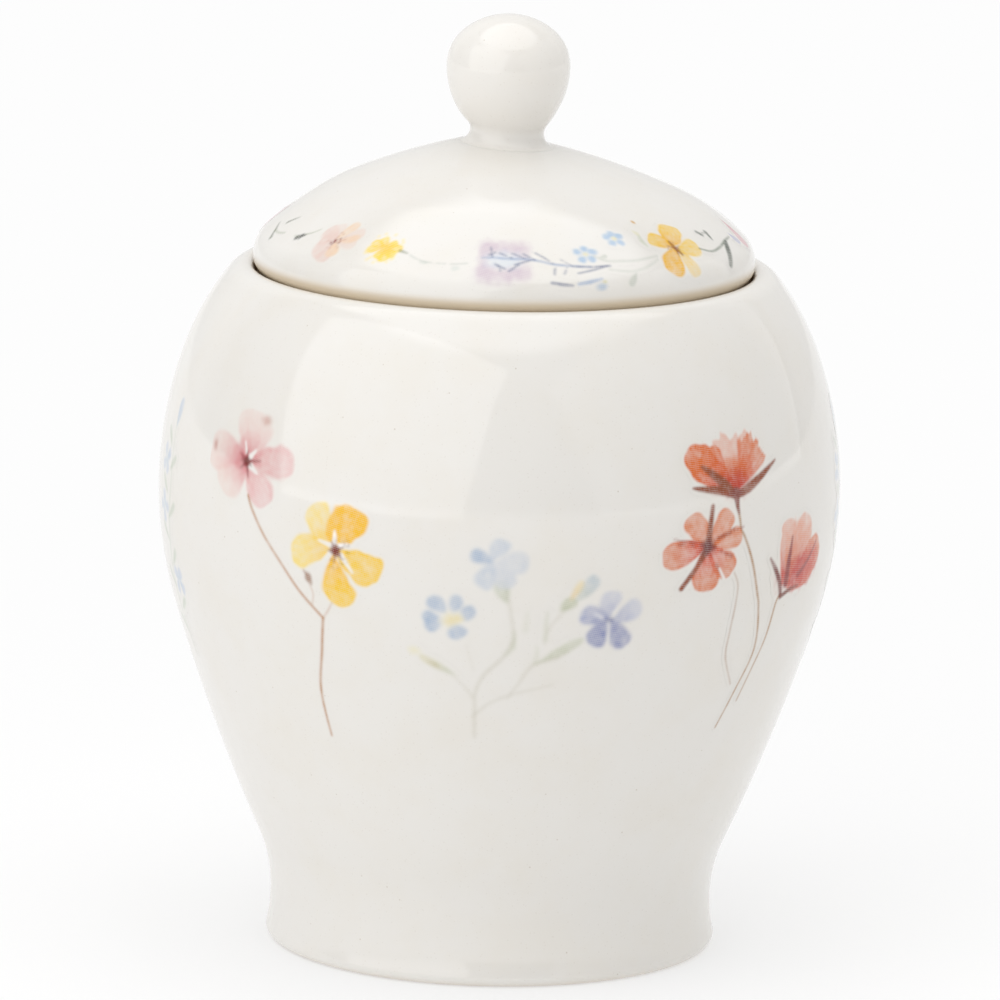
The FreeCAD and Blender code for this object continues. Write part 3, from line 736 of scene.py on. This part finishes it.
def poppies(sheet):
    """Three orange flowers: a cup seen from the side, an open one and a bud."""
    brown, stem, shade = tint(150, 88, 26), tint(170, 120, 66), tint(136, 74, 20)
    flame, coral, rust = tint(220, 92, 28), tint(226, 118, 60), tint(146, 64, 28)
    sheet.stroke([(2.9, 14.8), (3.4, 12.3), (3.6, 10.9), (4.3, 9.9), (6.1, 6.1), (8, 0.9), (8.9, -1.6),
                  (10.3, -8.9), (8.4, -15.2), (6.2, -21.2)],
                 [0.55, 0.34, 0.4, 0.42, 0.4, 0.34, 0.3], stem, 0.98)
    sheet.stroke([(2.6, 4.6), (3.6, 2.5), (3.6, -0.6), (3.4, -5), (3.8, -9), (6.8, -14)],
                 [0.25, 0.32, 0.3, 0.25], tint(176, 138, 112), 0.7)
    sheet.stroke([(14.1, -0.4), (13.2, -1.9), (12.5, -7.6), (11.2, -12.2), (9.7, -17.2)],
                 [0.5, 0.36, 0.32, 0.28], stem, 0.98)
    cup = (2.7, 16.2)
    sheet.fan(cup, 88, 40, 9.2, coral, tint(236, 190, 174), 0.85, ragged=0.12)
    flower(sheet, cup, ((-8.8, 7, 5.2),), flame, coral, 0.98, soft=0.35, blunt=0.36)
    sheet.fan(cup, 128, 20, 9.4, flame, coral, 0.92, ragged=0.09)
    sheet.fan(cup, 56, 25, 9.4, flame, tint(226, 134, 96), 0.92, ragged=0.08)
    sheet.fan(cup, 92, 54, 6, tint(204, 84, 40), coral, 0.88, ragged=0.04, fading=0.2)
    sheet.blot((2.6, 18), 6.4, 3.8, tint(186, 66, 28), 0.45, soft=0.7)
    sheet.stroke([(-3.4, 21), (-1.9, 20), (0.4, 18.2), cup], [0.4, 1.1, 1.5, 0.9], brown, 1.25, soft=0.22)
    sheet.stroke([(-5.2, 18), (-3.6, 17.7), (-0.6, 17.2), (2.6, 16.2)], [0.25, 0.8, 1.3, 1.1], brown,
                 1.25, soft=0.2)
    sheet.stroke([(12, 20.2), (8.9, 18.6), (5.6, 17), (2.8, 16)], [0.2, 1, 1.5, 0.9], brown, 1.25,
                 soft=0.2)
    sheet.stroke([(2.8, 16.6), (2.9, 14.8), (3.2, 13.4)], [1.5, 0.85, 0.4], shade, 1.1)
    sheet.blot((2.8, 16.4), 3.2, 1.3, shade, 0.66, soft=0.5)
    heart = (-2.7, 9.1)
    for petals, inner, outer, strength in (
            (((-2.7, 5.2, 4), (4.6, 4.6, 3.6), (6.6, 0.8, 3.2)), coral, tint(226, 140, 102), 0.84),
            (((5.2, -4, 4.4), (0.2, -6.8, 4.9), (-7.8, -0.7, 4.4)), flame, tint(224, 130, 90), 0.9)):
        flower(sheet, heart, petals, inner, outer, strength, blunt=0.36)
    strokes(sheet, (([(-2.7, 9.2), (-2.3, 12), (-1.8, 15)], [1.3, 0.9, 0.7], 1.2),
                    ([(-2.7, 9), (-4.6, 6.2), (-7, 3.2)], [1.1, 0.8, 0.8], 1.2)), brown, soft=0.22)
    for start, end in (((-8.6, 10.8), (-4.6, 9.7)), ((-7.8, 9.9), (-5, 9.6)), ((4.2, 11.3), (-0.6, 10.2)),
                       ((2.4, 11.4), (-1.4, 10)), ((0.6, 4), (-1, 6.2)), ((-0.4, 8.2), (1.8, 7.2))):
        sheet.stroke([start, end], [0.3, 0.6], tint(150, 76, 40), 0.6, soft=0.2, broken=0.35)
    lifts(sheet, (((2, 7.9), (4.4, 7.7), 0.25), ((-0.4, 5.6), (0.8, 3.6), 0.25)), 0.5, 0.8)
    sheet.blot(heart, 2.5, 2.3, tint(116, 62, 20), 0.95, soft=0.6)
    red, pink = tint(212, 88, 26), tint(236, 174, 152)
    sheet.fan((16, 0.5), 72, 22, 10.6, red, pink, 0.72, ragged=0.12, fading=0.1)
    for base, tip, width, inner, outer, strength, soft, blunt, fading in (
            ((14.4, 0.6), (14.4, 11), 4.5, red, pink, 0.86, 0.5, 0.42, 0.2),
            ((15.5, 0), (20.5, 10.8), 6, red, pink, 0.88, 0.5, 0.42, 0.2),
            ((16, 0), (25.6, 5.2), 6, red, tint(228, 148, 118), 0.88, 0.45, 0.4, 0),
            ((15.6, 0), (17.4, 10.2), 4.6, coral, pink, 0.7, 0.6, 0.42, 0.4)):
        sheet.petal(base, tip, width, inner, outer, strength, soft, blunt, fading)
    sheet.blot((21.2, 2.7), 7.5, 5.4, red, 0.85, turn=20, soft=0.4)
    sheet.blot((17.5, 2.4), 8, 4, tint(196, 68, 34), 0.62, turn=12, soft=0.7)
    sheet.stroke([(15.2, 1), (15.3, 4.2), (15.9, 8)], [1.3, 1.1, 0.4], rust, 1.1, soft=0.25)
    sheet.stroke([(18.6, 1.8), (21.6, 3.6), (24, 6)], [1, 0.6, 0.25], rust, 0.9, soft=0.25)
    sheet.stroke([(10.4, 5.6), (12, 3.6), (13.4, 1.4), (14.1, -0.6)], [0.35, 0.9, 0.9, 0.8],
                 tint(128, 72, 40), 1.1, soft=0.15)
    sheet.stroke([(19.2, 0), (16.6, -0.2), (14.2, -0.9)], [0.3, 0.7, 0.8], tint(132, 78, 48), 1, soft=0.2)
    sheet.soften(0.12)


def blue_sprig(sheet):
    """A tall pale sprig of small leaves with a few blue petals."""
    green, blue = tint(176, 192, 166), tint(182, 202, 222)
    spine = [(0.6, -17), (-0.6, -8), (0.2, 2), (1.2, 10), (0.6, 19)]
    sheet.stroke(spine, [0.35, 0.5, 0.45, 0.3], tint(190, 202, 182), 0.6, soft=0.2)
    for k in range(9):
        v = -14 + 3.6 * k
        side = 1 if k % 2 else -1
        start = (0.2 * math.sin(k), v)
        lean = 2.6 + sheet.draws.random()
        sheet.petal(start, (side * lean, v + 2.9), 1.3, green, tint(192, 204, 184), 0.6, soft=0.45)
        if k in (2, 5, 7):
            bloom = (side * -2.2, v + 1.6)
            turned = [math.radians(heading + 15 * k) for heading in (20, 110, 200, 290)]
            flower(sheet, bloom, [(2.5 * math.cos(a), 2.5 * math.sin(a), 1.9) for a in turned],
                   blue, tint(192, 204, 226), 0.75, soft=0.5)
    sheet.petal((0.7, 18), (1.6, 22.6), 2, blue, tint(196, 208, 226), 0.72, soft=0.5)
    sheet.soften(0.2)


def wreath_start(sheet):
    """Dark twigs, a small pink flower, a small yellow one and the start of a dotted vine."""
    dark, pale = tint(58, 72, 46), tint(150, 160, 128)
    leaf_marks(sheet, (
        ((-15.2, -2.5), (-16.6, -1.2), 0.8), ((-16.4, -1.2), (-18.4, 0.1), 0.6),
        ((-15.3, 0.9), (-14.4, 1.8), 0.7), ((-14.4, 1.8), (-13.2, 2.7), 0.4)), tint(84, 96, 70))
    sheet.stroke([(-16.6, -1.2), (-14.4, -1.2), (-12.2, -0.7)], [0.35, 0.25], pale, 0.7)
    leaf_marks(sheet, (((-7.8, -0.6), (-6.3, 0.3), 1), ((-7, 0.2), (-6.9, -0.8), 0.5)), dark, 0.92)
    sheet.stroke([(-6.4, 0.4), (-5.1, 1.1), (-4, 2.1)], [0.26, 0.18], pale, 0.85)
    sheet.stroke([(-8.8, -0.4), (-7.4, -0.4)], [0.3, 0.2], pale, 0.5)
    blush, peach = tint(238, 210, 200), tint(248, 216, 184)
    pink = (1.3, 0.7)
    flower(sheet, pink, ((-3.6, 2.4, 3.2), (-3.3, 0.2, 3), (-2.4, -3.4, 3.4), (0.2, -4.2, 2.8)),
           blush, blush, 0.74, soft=1)
    flower(sheet, pink, ((-1.8, 3.4, 3), (4.4, 2.4, 2.8), (4.2, 0.3, 2.4)), blush, tint(242, 220, 208),
           0.66, soft=1)
    flower(sheet, pink, ((1.4, 4.3, 2.2), (1.6, -2.8, 2.4), (4, 1.6, 1.6)), peach, peach, soft=0.8)
    sheet.dots(pink, 0.1, 1, 16, 0.3, tint(140, 62, 36), 0.85)
    sheet.dots(pink, 0.6, 2, 22, 0.22, tint(176, 104, 76), 0.6)
    gold = tint(250, 204, 40)
    yellow = (10.8, 0.9)
    flower(sheet, yellow, (
        (-2.9, -0.5, 1.7), (-2.6, 1.1, 1.7), (-0.8, 2.2, 1.9), (1.5, 1.7, 1.7), (3.1, 0.1, 1.9),
        (2.2, -1.5, 1.7), (1, -2.5, 2), (-0.7, -2.1, 1.8)), gold, tint(252, 218, 84), 0.92, soft=0.5)
    sheet.blot(yellow, 1.5, 1.2, gold)
    sheet.dots(yellow, 2.4, 3.2, 16, 0.6, tint(252, 228, 130), 0.45)
    leaf_marks(sheet, (((13.6, 0.8), (15, 0.4), 0.55),), tint(106, 118, 72), 0.8)
    sheet.stroke([(15.2, 0.3), (17.1, -0.6), (18.9, -0.9), (22, -0.9), (24.4, -0.6)], [0.26, 0.22, 0.2],
                 tint(160, 172, 160), 0.55, broken=0.5)
    sheet.blot((18, -1), 1.2, 0.6, tint(192, 202, 192), 0.35)
    sheet.blot((22.8, -1.6), 1.4, 1, tint(202, 212, 204), 0.35)
    sheet.soften(0.15)


def wreath_middle(sheet):
    """A lilac patch under a dark blue fern, with two small blue flowers and pale twigs."""
    lilac, blue, ink = tint(214, 196, 208), tint(166, 196, 226), tint(84, 98, 140)
    for _ in range(16):
        along = sheet.draws.random()
        for level in (2.6, -2.6):
            spot = (-12 + 6.4 * along, level + 1.6 * (sheet.draws.random() - 0.5))
            sheet.blot(spot, 2.6, 2.2, lilac, 0.24, soft=0.9)
    for level in (-1.6, 0.2, 1.8):
        sheet.blot((-12, level), 1.6, 2.4, lilac, 0.55, soft=0.7)
        sheet.blot((-6, level), 1.8, 2.2, lilac, 0.25, soft=0.7)
    sheet.blot((-9, 0.3), 5.4, 3.2, tint(214, 224, 236), 0.55, soft=0.6)
    sheet.stroke([(-12.2, 0.6), (-10.4, 0.7), (-9.4, 0.6), (-7.4, 0.5), (-5.5, 0.5), (-3.6, 0.1),
                  (-1.8, -0.5), (0.9, -0.9), (3.7, -1.2)], [0.3, 0.35, 0.45, 0.4, 0.3],
                 tint(132, 156, 196), soft=0.2)
    for points, widths, strength, broken in (
            ([(-4.5, 1.9), (-3, 0.8), (-1.8, -0.4)], [0.3, 0.35, 0.2], 0.75, 0.3),
            ([(-0.6, 0.5), (0, -0.1), (0.9, -0.8)], [0.2, 0.3, 0.2], 0.55, 0.35),
            ([(1, -1), (3.7, -1.2), (6.8, -1.2)], [0.25, 0.3, 0.35], 0.8, 0.2),
            ([(1.6, -2.3), (4, -1.8), (6.4, -1.2)], [0.3, 0.35, 0.2], 0.7, 0.3),
            ([(-2.3, -3.8), (-0.9, -4.1), (0.6, -4.3)], [0.45, 0.5, 0.3], 0.85, 0.2)):
        sheet.stroke(points, widths, ink, strength, soft=0.12, broken=broken)
    sheet.stroke([(1.4, -4.1), (3.2, -3.8), (4.9, -3.4)], [0.4, 0.6, 0.3], tint(140, 168, 208), 0.75,
                 soft=0.2)
    for start, end in (
            ((-11, 2.7), (-10.7, 0.9)), ((-11.2, 1.2), (-10.2, 1.8)), ((-10.4, -0.4), (-8.8, -1.4)),
            ((-9.8, -0.8), (-9.4, -1.8)), ((-8.2, -1.8), (-6.8, -0.6)), ((-7.7, 1.6), (-5.6, 0.5)),
            ((-9.6, 1.6), (-7.8, 0.7)), ((-7.4, -0.6), (-5, 0.3)), ((-6, 1.5), (-4.4, 0.3)),
            ((-1.6, -1.1), (-1.8, -2.4)), ((-0.4, -2.4), (0.2, -1.2))):
        sheet.stroke([start, end], [0.35, 0.3], ink, 0.72, soft=0.12, broken=0.35)
    for middle, size in (((3.6, 1.2), 1.9), ((9.7, 4), 1.8)):
        sheet.blot(middle, size * 1.2, size * 1.2, blue, 0.35, soft=0.8)
        for heading in (22, 90, 150, 234, 306):
            a = math.radians(heading)
            spot = (middle[0] + size * 0.72 * math.cos(a), middle[1] + size * 0.62 * math.sin(a))
            sheet.blot(spot, size * 0.72, size * 0.62, blue, soft=0.5)
        sheet.blot(middle, 1, 0.8, tint(240, 230, 180), 0.7)
    sheet.blot((4.6, -4.6), 1.6, 1, tint(166, 190, 216), 0.6, soft=0.6)
    sheet.blot((5.2, -3.9), 0.6, 0.4, tint(214, 206, 130), 0.6, soft=0.6)
    pale = tint(196, 202, 190)
    strokes(sheet, (
        ([(4.9, 0.8), (6.4, -0.2), (9.1, -0.5), (11.6, -0.6), (15.5, -0.2)], [0.35, 0.4, 0.3], 0.65),
        ([(6.5, -1.9), (9.8, -2.5), (12.6, -2), (15.6, -0.7)], [0.3, 0.45, 0.25], 0.6)), pale, soft=0.25)
    sheet.petal((10.6, -2.6), (9, -4.9), 1.1, pale, pale, 0.65)
    sheet.petal((5.4, 0.5), (7, 0.6), 0.9, pale, pale, 0.5)
    sheet.soften(0.14)


def wreath_end(sheet):
    """A yellow flower between pale and dark twigs, and a pink petal that runs on to the next repeat."""
    sheet.blot((-10.6, 7.2), 0.7, 0.8, tint(214, 160, 60))
    sheet.stroke([(-12.4, 5.2), (-12, 4.6), (-11.9, 4.2)], [0.3, 0.8, 0.3], tint(228, 224, 176), 0.7,
                 soft=0.3)
    sheet.stroke([(-12, 4), (-12.2, 3), (-11.8, 1.8)], [0.5, 0.8, 0.3], tint(196, 204, 178), 0.65,
                 soft=0.3)
    gold, deep, lemon = tint(249, 206, 84), tint(247, 190, 44), tint(250, 214, 116)
    brown, dark = tint(150, 92, 20), tint(62, 80, 56)
    centre = (-6.7, 0.6)
    odd_petals(sheet, centre, (
        (2.9, 4.8, 4.8, deep, gold, 0.94, 0.5, 0.34), (-3.8, 3, 3.4, deep, gold, 0.92, 0.5, 0.36),
        (-3.9, -4, 4, deep, deep, 0.94, 0.5, 0.34), (5.2, -1, 3.6, gold, lemon, 0.88, 0.6, 0.36),
        (1.2, -5.3, 2.8, gold, lemon, 0.66, 0.7, 0.36)))
    sheet.stroke([(-6.9, 2), centre, (-6.2, -0.7)], [0.5, 0.9, 0.4], brown)
    sheet.dots(centre, 0.6, 1.9, 12, 0.24, brown, 0.55)
    star(sheet, centre, ((20, 1.2), (150, 1.5), (255, 1.6)), 0.45, tint(160, 104, 30), 0.7)
    leaf_marks(sheet, (
        ((1.6, 2.6), (2.5, 1.8), 0.8), ((1.9, 2), (2.2, 1.5), 0.5), ((4, 2.1), (3.7, 0.5), 0.9),
        ((2.8, 2.2), (3.6, 1.9), 0.3)), dark, 0.84)
    sheet.stroke([(-1.6, -0.3), (0.7, -1.3), (3.7, -1.1), (7, -0.5), (10.1, -0.3)],
                 [0.3, 0.35, 0.45, 0.3], tint(86, 104, 80), 0.82, soft=0.15)
    sheet.stroke([(7.3, -0.6), (5.4, -2), (3.1, -4.3)], [0.6, 1.1, 0.9], dark, 0.92, soft=0.2)
    leaf_marks(sheet, (((5.9, -0.9), (6.6, -1.6), 0.4),), dark, 0.8)
    sheet.petal((15.6, 2.6), (14.2, -3.6), 2.6, tint(214, 130, 142), tint(228, 172, 178), soft=0.5)
    sheet.petal((11.2, 0.4), (12.1, -2.2), 1.8, tint(160, 162, 206), tint(186, 188, 218), 0.78, soft=0.5)
    sheet.soften(0.11)


def arc_lengths(outline):
    """Radius and height of a skin as functions of the distance along it."""
    points = np.array(outline.points)
    travelled = np.concatenate([[0.0], np.cumsum(np.hypot(*np.diff(points, axis=0).T))])
    return travelled, points[:, 0], points[:, 1]


def grown(cells, times):
    """The cells with this many rings of neighbours added."""
    for _ in range(times):
        wider = cells.copy()
        wider[1:, :] |= cells[:-1, :]
        wider[:-1, :] |= cells[1:, :]
        wider[:, 1:] |= cells[:, :-1]
        wider[:, :-1] |= cells[:, 1:]
        cells = wider
    return cells


def film(name, sheet, material, skin, angle, middle_z, radius, body, layer):
    """The sheet's inked cells as a thin closed film on a skin, with its middle at this angle and height.

    Films that overlap lie in different layers, so that no two surfaces coincide.
    """
    travelled, radii, levels = skin
    start = np.interp(middle_z, levels, travelled)
    along = start + sheet.v
    turn = math.radians(angle) + sheet.u / radius
    r, z = np.interp(along, travelled, radii), np.interp(along, travelled, levels)
    spots = place_on(r, z, turn)
    normal = np.cross(np.gradient(spots, axis=1), np.gradient(spots, axis=0))
    normal /= np.linalg.norm(normal, axis=-1, keepdims=True)
    # The film covers each cell with ink at a corner, and a clear border round those.
    inked = sheet.cover > FAINTEST_INK
    cells = inked[1:, 1:] | inked[:-1, 1:] | inked[1:, :-1] | inked[:-1, :-1]
    cells = grown(cells, CLEAR_RINGS)
    cells[[0, -1], :] = False
    cells[:, [0, -1]] = False
    for _ in range(CORNER_PASSES):
        a, b, c, d = cells[:-1, :-1], cells[:-1, 1:], cells[1:, :-1], cells[1:, 1:]
        crossed = (a & d & ~b & ~c) | (b & c & ~a & ~d)
        for block in (a, b, c, d):
            block |= crossed
    # A front face for each cell, a back face behind it, and a wall at each open side.
    rows, columns = sheet.u.shape
    number = np.arange(rows * columns).reshape(rows, columns)
    row, column = np.nonzero(cells)
    sw, se = number[row, column], number[row, column + 1]
    nw, ne = number[row + 1, column], number[row + 1, column + 1]
    front = np.stack([sw, se, ne, nw], axis=1)
    used = np.unique(front)
    order = np.full(rows * columns, -1)
    order[used] = np.arange(len(used))
    count = len(used)
    walls = []
    padded = np.pad(cells, 1)
    here = (row + 1, column + 1)
    for step, first, second in (((-1, 0), sw, se), ((0, 1), se, ne), ((1, 0), ne, nw), ((0, -1), nw, sw)):
        open_side = ~padded[here[0] + step[0], here[1] + step[1]]
        a, b = order[first[open_side]], order[second[open_side]]
        walls.append(np.stack([a, a + count, b + count, b], axis=1))
    front = order[front]
    back = front[:, ::-1] + count
    faces = np.vstack([front, back, *walls])
    out = normal.reshape(-1, 3)[used]
    flat = spots.reshape(-1, 3)[used]
    points = np.vstack([flat + out * FILM_TOPS[layer], flat - out * FILM_BACKS[layer]]) * MM
    piece = mesh_from(name, points, faces.tolist())
    mesh = piece.data
    mesh.polygons.foreach_set("use_smooth", [True] * len(faces))
    facing = np.vstack([out, out])[faces]
    facing[len(front):2 * len(front)] *= -1
    mesh.normals_split_custom_set(facing.reshape(-1, 3).tolist())
    paint = sheet.colour.reshape(-1, 3)[used]
    store = mesh.attributes.new("paint", "FLOAT_VECTOR", "POINT")
    store.data.foreach_set("vector", np.vstack([paint, paint]).astype(np.float32).ravel())
    for key, field in (("ink", sheet.cover), ("across", sheet.u), ("along", sheet.v)):
        once = field.ravel()[used]
        set_attribute(piece, key, np.concatenate([once, once]))
    mesh.materials.append(material)
    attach(piece, body)


# ------------------------------------------------------------------ the three ceramic pieces
AROUND = 288  # points round the bowl and the lid
KNOB_AROUND = 144
FOOT_GLAZE_LINE = 0.10  # height where the glaze stops above the foot
# Painted light: the knob gets the lighter copy of the glaze.
knob_glaze = ceramic("knob_glaze", glaze=(KNOB_GLAZE_PAINTED_LIGHT, KNOB_GLAZE_WARM_PAINTED_LIGHT))
part_bare_glaze_and_shade = ceramic("part_bare_glaze_and_shade", bare=True)
print_glaze = ceramic("print_glaze", printed=True)

bowl = lathe("bowl_glazed", bowl_outline(), AROUND)
bowl_z, bowl_r = heights(bowl)
under_foot = smooth(FOOT_GLAZE_LINE + 0.1, FOOT_GLAZE_LINE - 0.1, bowl_z) * (bowl_r > 26.9)
# The seat ledge inside the mouth is bare clay. Its dark tone is also painted shade in the gap under the
# lid.
seat_ledge_bare_and_shade = smooth(33.2, 34.0, bowl_r) * smooth(37.75, 37.35, bowl_r)
seat_ledge_bare_and_shade = seat_ledge_bare_and_shade * (bowl_z > 100.7) * smooth(102.6, 102.0, bowl_z)
set_attribute(bowl, "bare", np.maximum(under_foot, seat_ledge_bare_and_shade))
set_attribute(bowl, "thin_glaze_and_shade", 0.25 * smooth(0.9, 0.2, bowl_z))
bowl.data.materials.append(part_bare_glaze_and_shade)
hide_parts("bowl")
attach(bowl, "bowl")

lid = lathe("lid_glazed", lid_outline(), AROUND)
lid_z, lid_r = heights(lid)
# The lid's seat face is bare clay. Its dark tone is also painted shade in the gap over the bowl's seat.
seat_rim_bare_and_shade = smooth(32.6, 33.4, lid_r) * smooth(102.1, 101.5, lid_z)
set_attribute(lid, "bare", seat_rim_bare_and_shade)
# The lid's rolled edge above the gap: thinned glaze, with its dark warm tint also painted shade under the
# edge.
set_attribute(lid, "thin_glaze_and_shade", smooth(104.9, 103.4, lid_z) * smooth(34.0, 35.5, lid_r))
lid.data.materials.append(part_bare_glaze_and_shade)
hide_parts("lid")
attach(lid, "lid")

knob = lathe("knob_glazed", knob_outline(), KNOB_AROUND)
knob.data.materials.append(knob_glaze)
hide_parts("knob")
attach(knob, "lid")


# The print goes twice round the bowl and twice round the lid. Each sheet has its painter, its angle,
# on the bowl its height, and its left, right, lower and upper edge.
FINE_STEP = 0.1
bowl_print = arc_lengths(bowl_skin(FINE_STEP))
lid_print = arc_lengths(lid_skin(FINE_STEP))
BOWL_PRINT = (
    ("rose_and_buttercup", rose_and_buttercup, -30.0, 60.0, (-24.0, 12.0, -24.0, 28.0)),
    ("forget_me_nots", forget_me_nots, 0.0, 50.0, (-15.0, 24.0, -12.0, 25.0)),
    ("poppies", poppies, 40.0, 60.0, (-14.0, 27.0, -23.0, 29.0)),
    ("left_sprig", blue_sprig, -74.0, 62.0, (-6.0, 6.0, -19.0, 25.0)),
    ("right_sprig", blue_sprig, 84.0, 62.0, (-6.0, 6.0, -19.0, 25.0)),
)
LID_PRINT = (
    ("wreath_start", wreath_start, -50.0, (-20.0, 26.0, -5.0, 7.0)),
    ("wreath_middle", wreath_middle, 15.0, (-15.0, 17.0, -5.5, 7.0)),
    ("wreath_end", wreath_end, 60.0, (-15.0, 16.0, -5.5, 8.0)),
)
BOWL_PRINT_RADIUS = 50.0
LID_PRINT_RADIUS = 34.05
LID_PRINT_HEIGHT = 109.54
LAYERS = len(FILM_TOPS)
FIRST_SEED = 11
SEED_STEP = 20
seeds = itertools.count(FIRST_SEED, SEED_STEP)


def print_film(name, painter, edges, *place):
    """Paints one sheet and lays it on as a film. Each sheet has its own seed."""
    sheet = Sheet(*edges, next(seeds))
    painter(sheet)
    film(f"print_{name}", sheet, print_glaze, *place)


for half_turn, side in ((0.0, "front"), (180.0, "rear")):
    for count, (name, painter, angle, level, edges) in enumerate(BOWL_PRINT):
        print_film(f"{name}_{side}", painter, edges, bowl_print, angle + half_turn, level,
                   BOWL_PRINT_RADIUS, "bowl", count % LAYERS)
    for count, (name, painter, angle, edges) in enumerate(LID_PRINT):
        print_film(f"{name}_{side}", painter, edges, lid_print, angle + half_turn, LID_PRINT_HEIGHT,
                   LID_PRINT_RADIUS, "lid", count % LAYERS)


# ------------------------------------------------------------------ floor, light and camera
WHITE = (1.0, 1.0, 1.0, 1.0)
WHITE_GLOW = 0.985  # strength of the far floor and of the room behind it
FLOOR_TONES = (0.90, 0.90, 0.90, 1.0), (0.915, 0.915, 0.915, 1.0)
NEAR, FAR = 0.04, 0.40  # metres from the bowl between which the floor's glow grows from NEAR_GLOW to FAR_GLOW
NEAR_GLOW, FAR_GLOW = 0.55, 0.97


def floor_material():
    """Pale, half matte and half glowing near the bowl, so that it holds only a light shadow: the glow
    there is painted light. Glowing white further out.
    """
    material, n = new_material("floor_white")
    where = n.add("ShaderNodeTexCoord").outputs["Object"]
    tone = n.mix(n.noise(where, 3.0), *FLOOR_TONES)
    matte = n.add("ShaderNodeBsdfPrincipled",
                  {"Base Color": tone, "Roughness": 0.7, "Specular IOR Level": 0.2})
    glow = n.add("ShaderNodeEmission", {"Color": WHITE, "Strength": WHITE_GLOW})
    reach = n.add("ShaderNodeVectorMath", {0: where}, operation="LENGTH").outputs["Value"]
    n.finish(n.blend_shaders(n.span(reach, NEAR, FAR, NEAR_GLOW, FAR_GLOW), matte, glow))
    return material


def disc(name, radius, rings, around):
    """A flat round plate in metres, in rings of quads round a fan of triangles."""
    points = [(0.0, 0.0, 0.0)]
    faces = []
    for ring in range(1, rings + 1):
        for k in range(around):
            angle = TURN * k / around
            reach = radius * ring / rings
            points.append((reach * math.cos(angle), reach * math.sin(angle), 0.0))
    for k in range(around):
        faces.append((0, 1 + k, 1 + (k + 1) % around))
    for ring in range(1, rings):
        faces += quads_between(1 + ring * around, 1 + (ring - 1) * around, around)
    return mesh_from(name, points, faces)


FLOOR_GAP = 0.0001
floor = disc("floor", radius=5.0, rings=5, around=96)
floor.location.z = -FLOOR_GAP
floor.data.materials.append(floor_material())

world = bpy.data.worlds.new("white_room")
bpy.context.scene.world = world
world.use_nodes = True
sky = Nodes(world.node_tree, "ShaderNodeOutputWorld")
direction = sky.add("ShaderNodeTexCoord").outputs["Generated"]


def sky_ramp(aim, low, high, low_value, high_value):
    """A smooth step between two strengths across the sky, along the direction aim."""
    facing = sky.add("ShaderNodeVectorMath", {0: direction, 1: aim}, operation="DOT_PRODUCT")
    return sky.span(facing.outputs["Value"], low, high, low_value, high_value)


FRONT_LEFT_SKY = 0.335
FRONT_RIGHT_SKY = 0.285
REAR_SKY = 0.80
OVERHEAD_SKY = 1.42
rear = sky_ramp((0.0, 1.0, 0.0), 0.40, 0.75, 0.0, 1.0)
sides = sky_ramp((1.0, 0.0, 0.0), -0.6, 0.6, FRONT_LEFT_SKY, FRONT_RIGHT_SKY)
overhead = sky_ramp((0.0, 0.0, 1.0), 0.76, 0.84, 0.0, OVERHEAD_SKY)
level_sky = sky.add("ShaderNodeMix", {0: rear, 2: sides, 3: REAR_SKY}).outputs[0]
room = sky.add("ShaderNodeBackground", {"Color": WHITE, "Strength": sky.plus(level_sky, overhead)})
seen = sky.add("ShaderNodeBackground", {"Color": WHITE, "Strength": WHITE_GLOW})
camera_ray = sky.add("ShaderNodeLightPath").outputs["Is Camera Ray"]
sky.finish(sky.blend_shaders(camera_ray, room, seen))


LAMP_AIM = 0.07  # height in metres that the lamps point at
LEFT_SOFTBOX = 1.09
RIGHT_SOFTBOX = 0.42


def softbox(name, azimuth, elevation, distance, width, height, radiance):
    """A rectangular lamp aimed at the bowl. Azimuth 0 is on the -Y side and 90 on the +X side."""
    data = bpy.data.lights.new(name, "AREA")
    data.shape = "RECTANGLE"
    data.size = width
    data.size_y = height
    data.energy = radiance * math.pi * width * height
    lamp = bpy.data.objects.new(name, data)
    bpy.context.scene.collection.objects.link(lamp)
    a, e = math.radians(azimuth), math.radians(elevation)
    back = Vector((math.sin(a) * math.cos(e), -math.cos(a) * math.cos(e), math.sin(e)))
    aim = Vector((0.0, 0.0, LAMP_AIM))
    lamp.location = aim + back * distance
    lamp.rotation_mode = "QUATERNION"
    lamp.rotation_quaternion = (-back).to_track_quat("-Z", "Y")
    lamp.visible_camera = False


softbox("left_softbox", -44.0, 26.0, 0.95, 1.36, 1.05, LEFT_SOFTBOX)
softbox("right_softbox", 78.0, 26.0, 1.00, 2.20, 1.10, RIGHT_SOFTBOX)

PITCH = math.radians(11.50)
ROLL = math.radians(1.286)
CAMERA_PLACE = (0.0, -1.5, 0.3722)
camera_data = bpy.data.cameras.new("camera")
camera_data.sensor_width = 36.0
camera_data.lens = 366.57
camera_data.shift_x = 0.0012
camera_data.clip_start = 0.05
camera_data.clip_end = 30.0
camera = bpy.data.objects.new("camera", camera_data)
bpy.context.scene.collection.objects.link(camera)
forward = Vector((0.0, math.cos(PITCH), -math.sin(PITCH)))
level = Vector((1.0, 0.0, 0.0))
upright = Vector((0.0, math.sin(PITCH), math.cos(PITCH)))
right = level * math.cos(ROLL) + upright * math.sin(ROLL)
up = upright * math.cos(ROLL) - level * math.sin(ROLL)
camera.matrix_world = Matrix.Translation(CAMERA_PLACE) @ Matrix((
    (right.x, up.x, -forward.x, 0.0),
    (right.y, up.y, -forward.y, 0.0),
    (right.z, up.z, -forward.z, 0.0),
    (0.0, 0.0, 0.0, 1.0)))
bpy.context.scene.camera = camera
bpy.context.scene.view_settings.view_transform = "Standard"
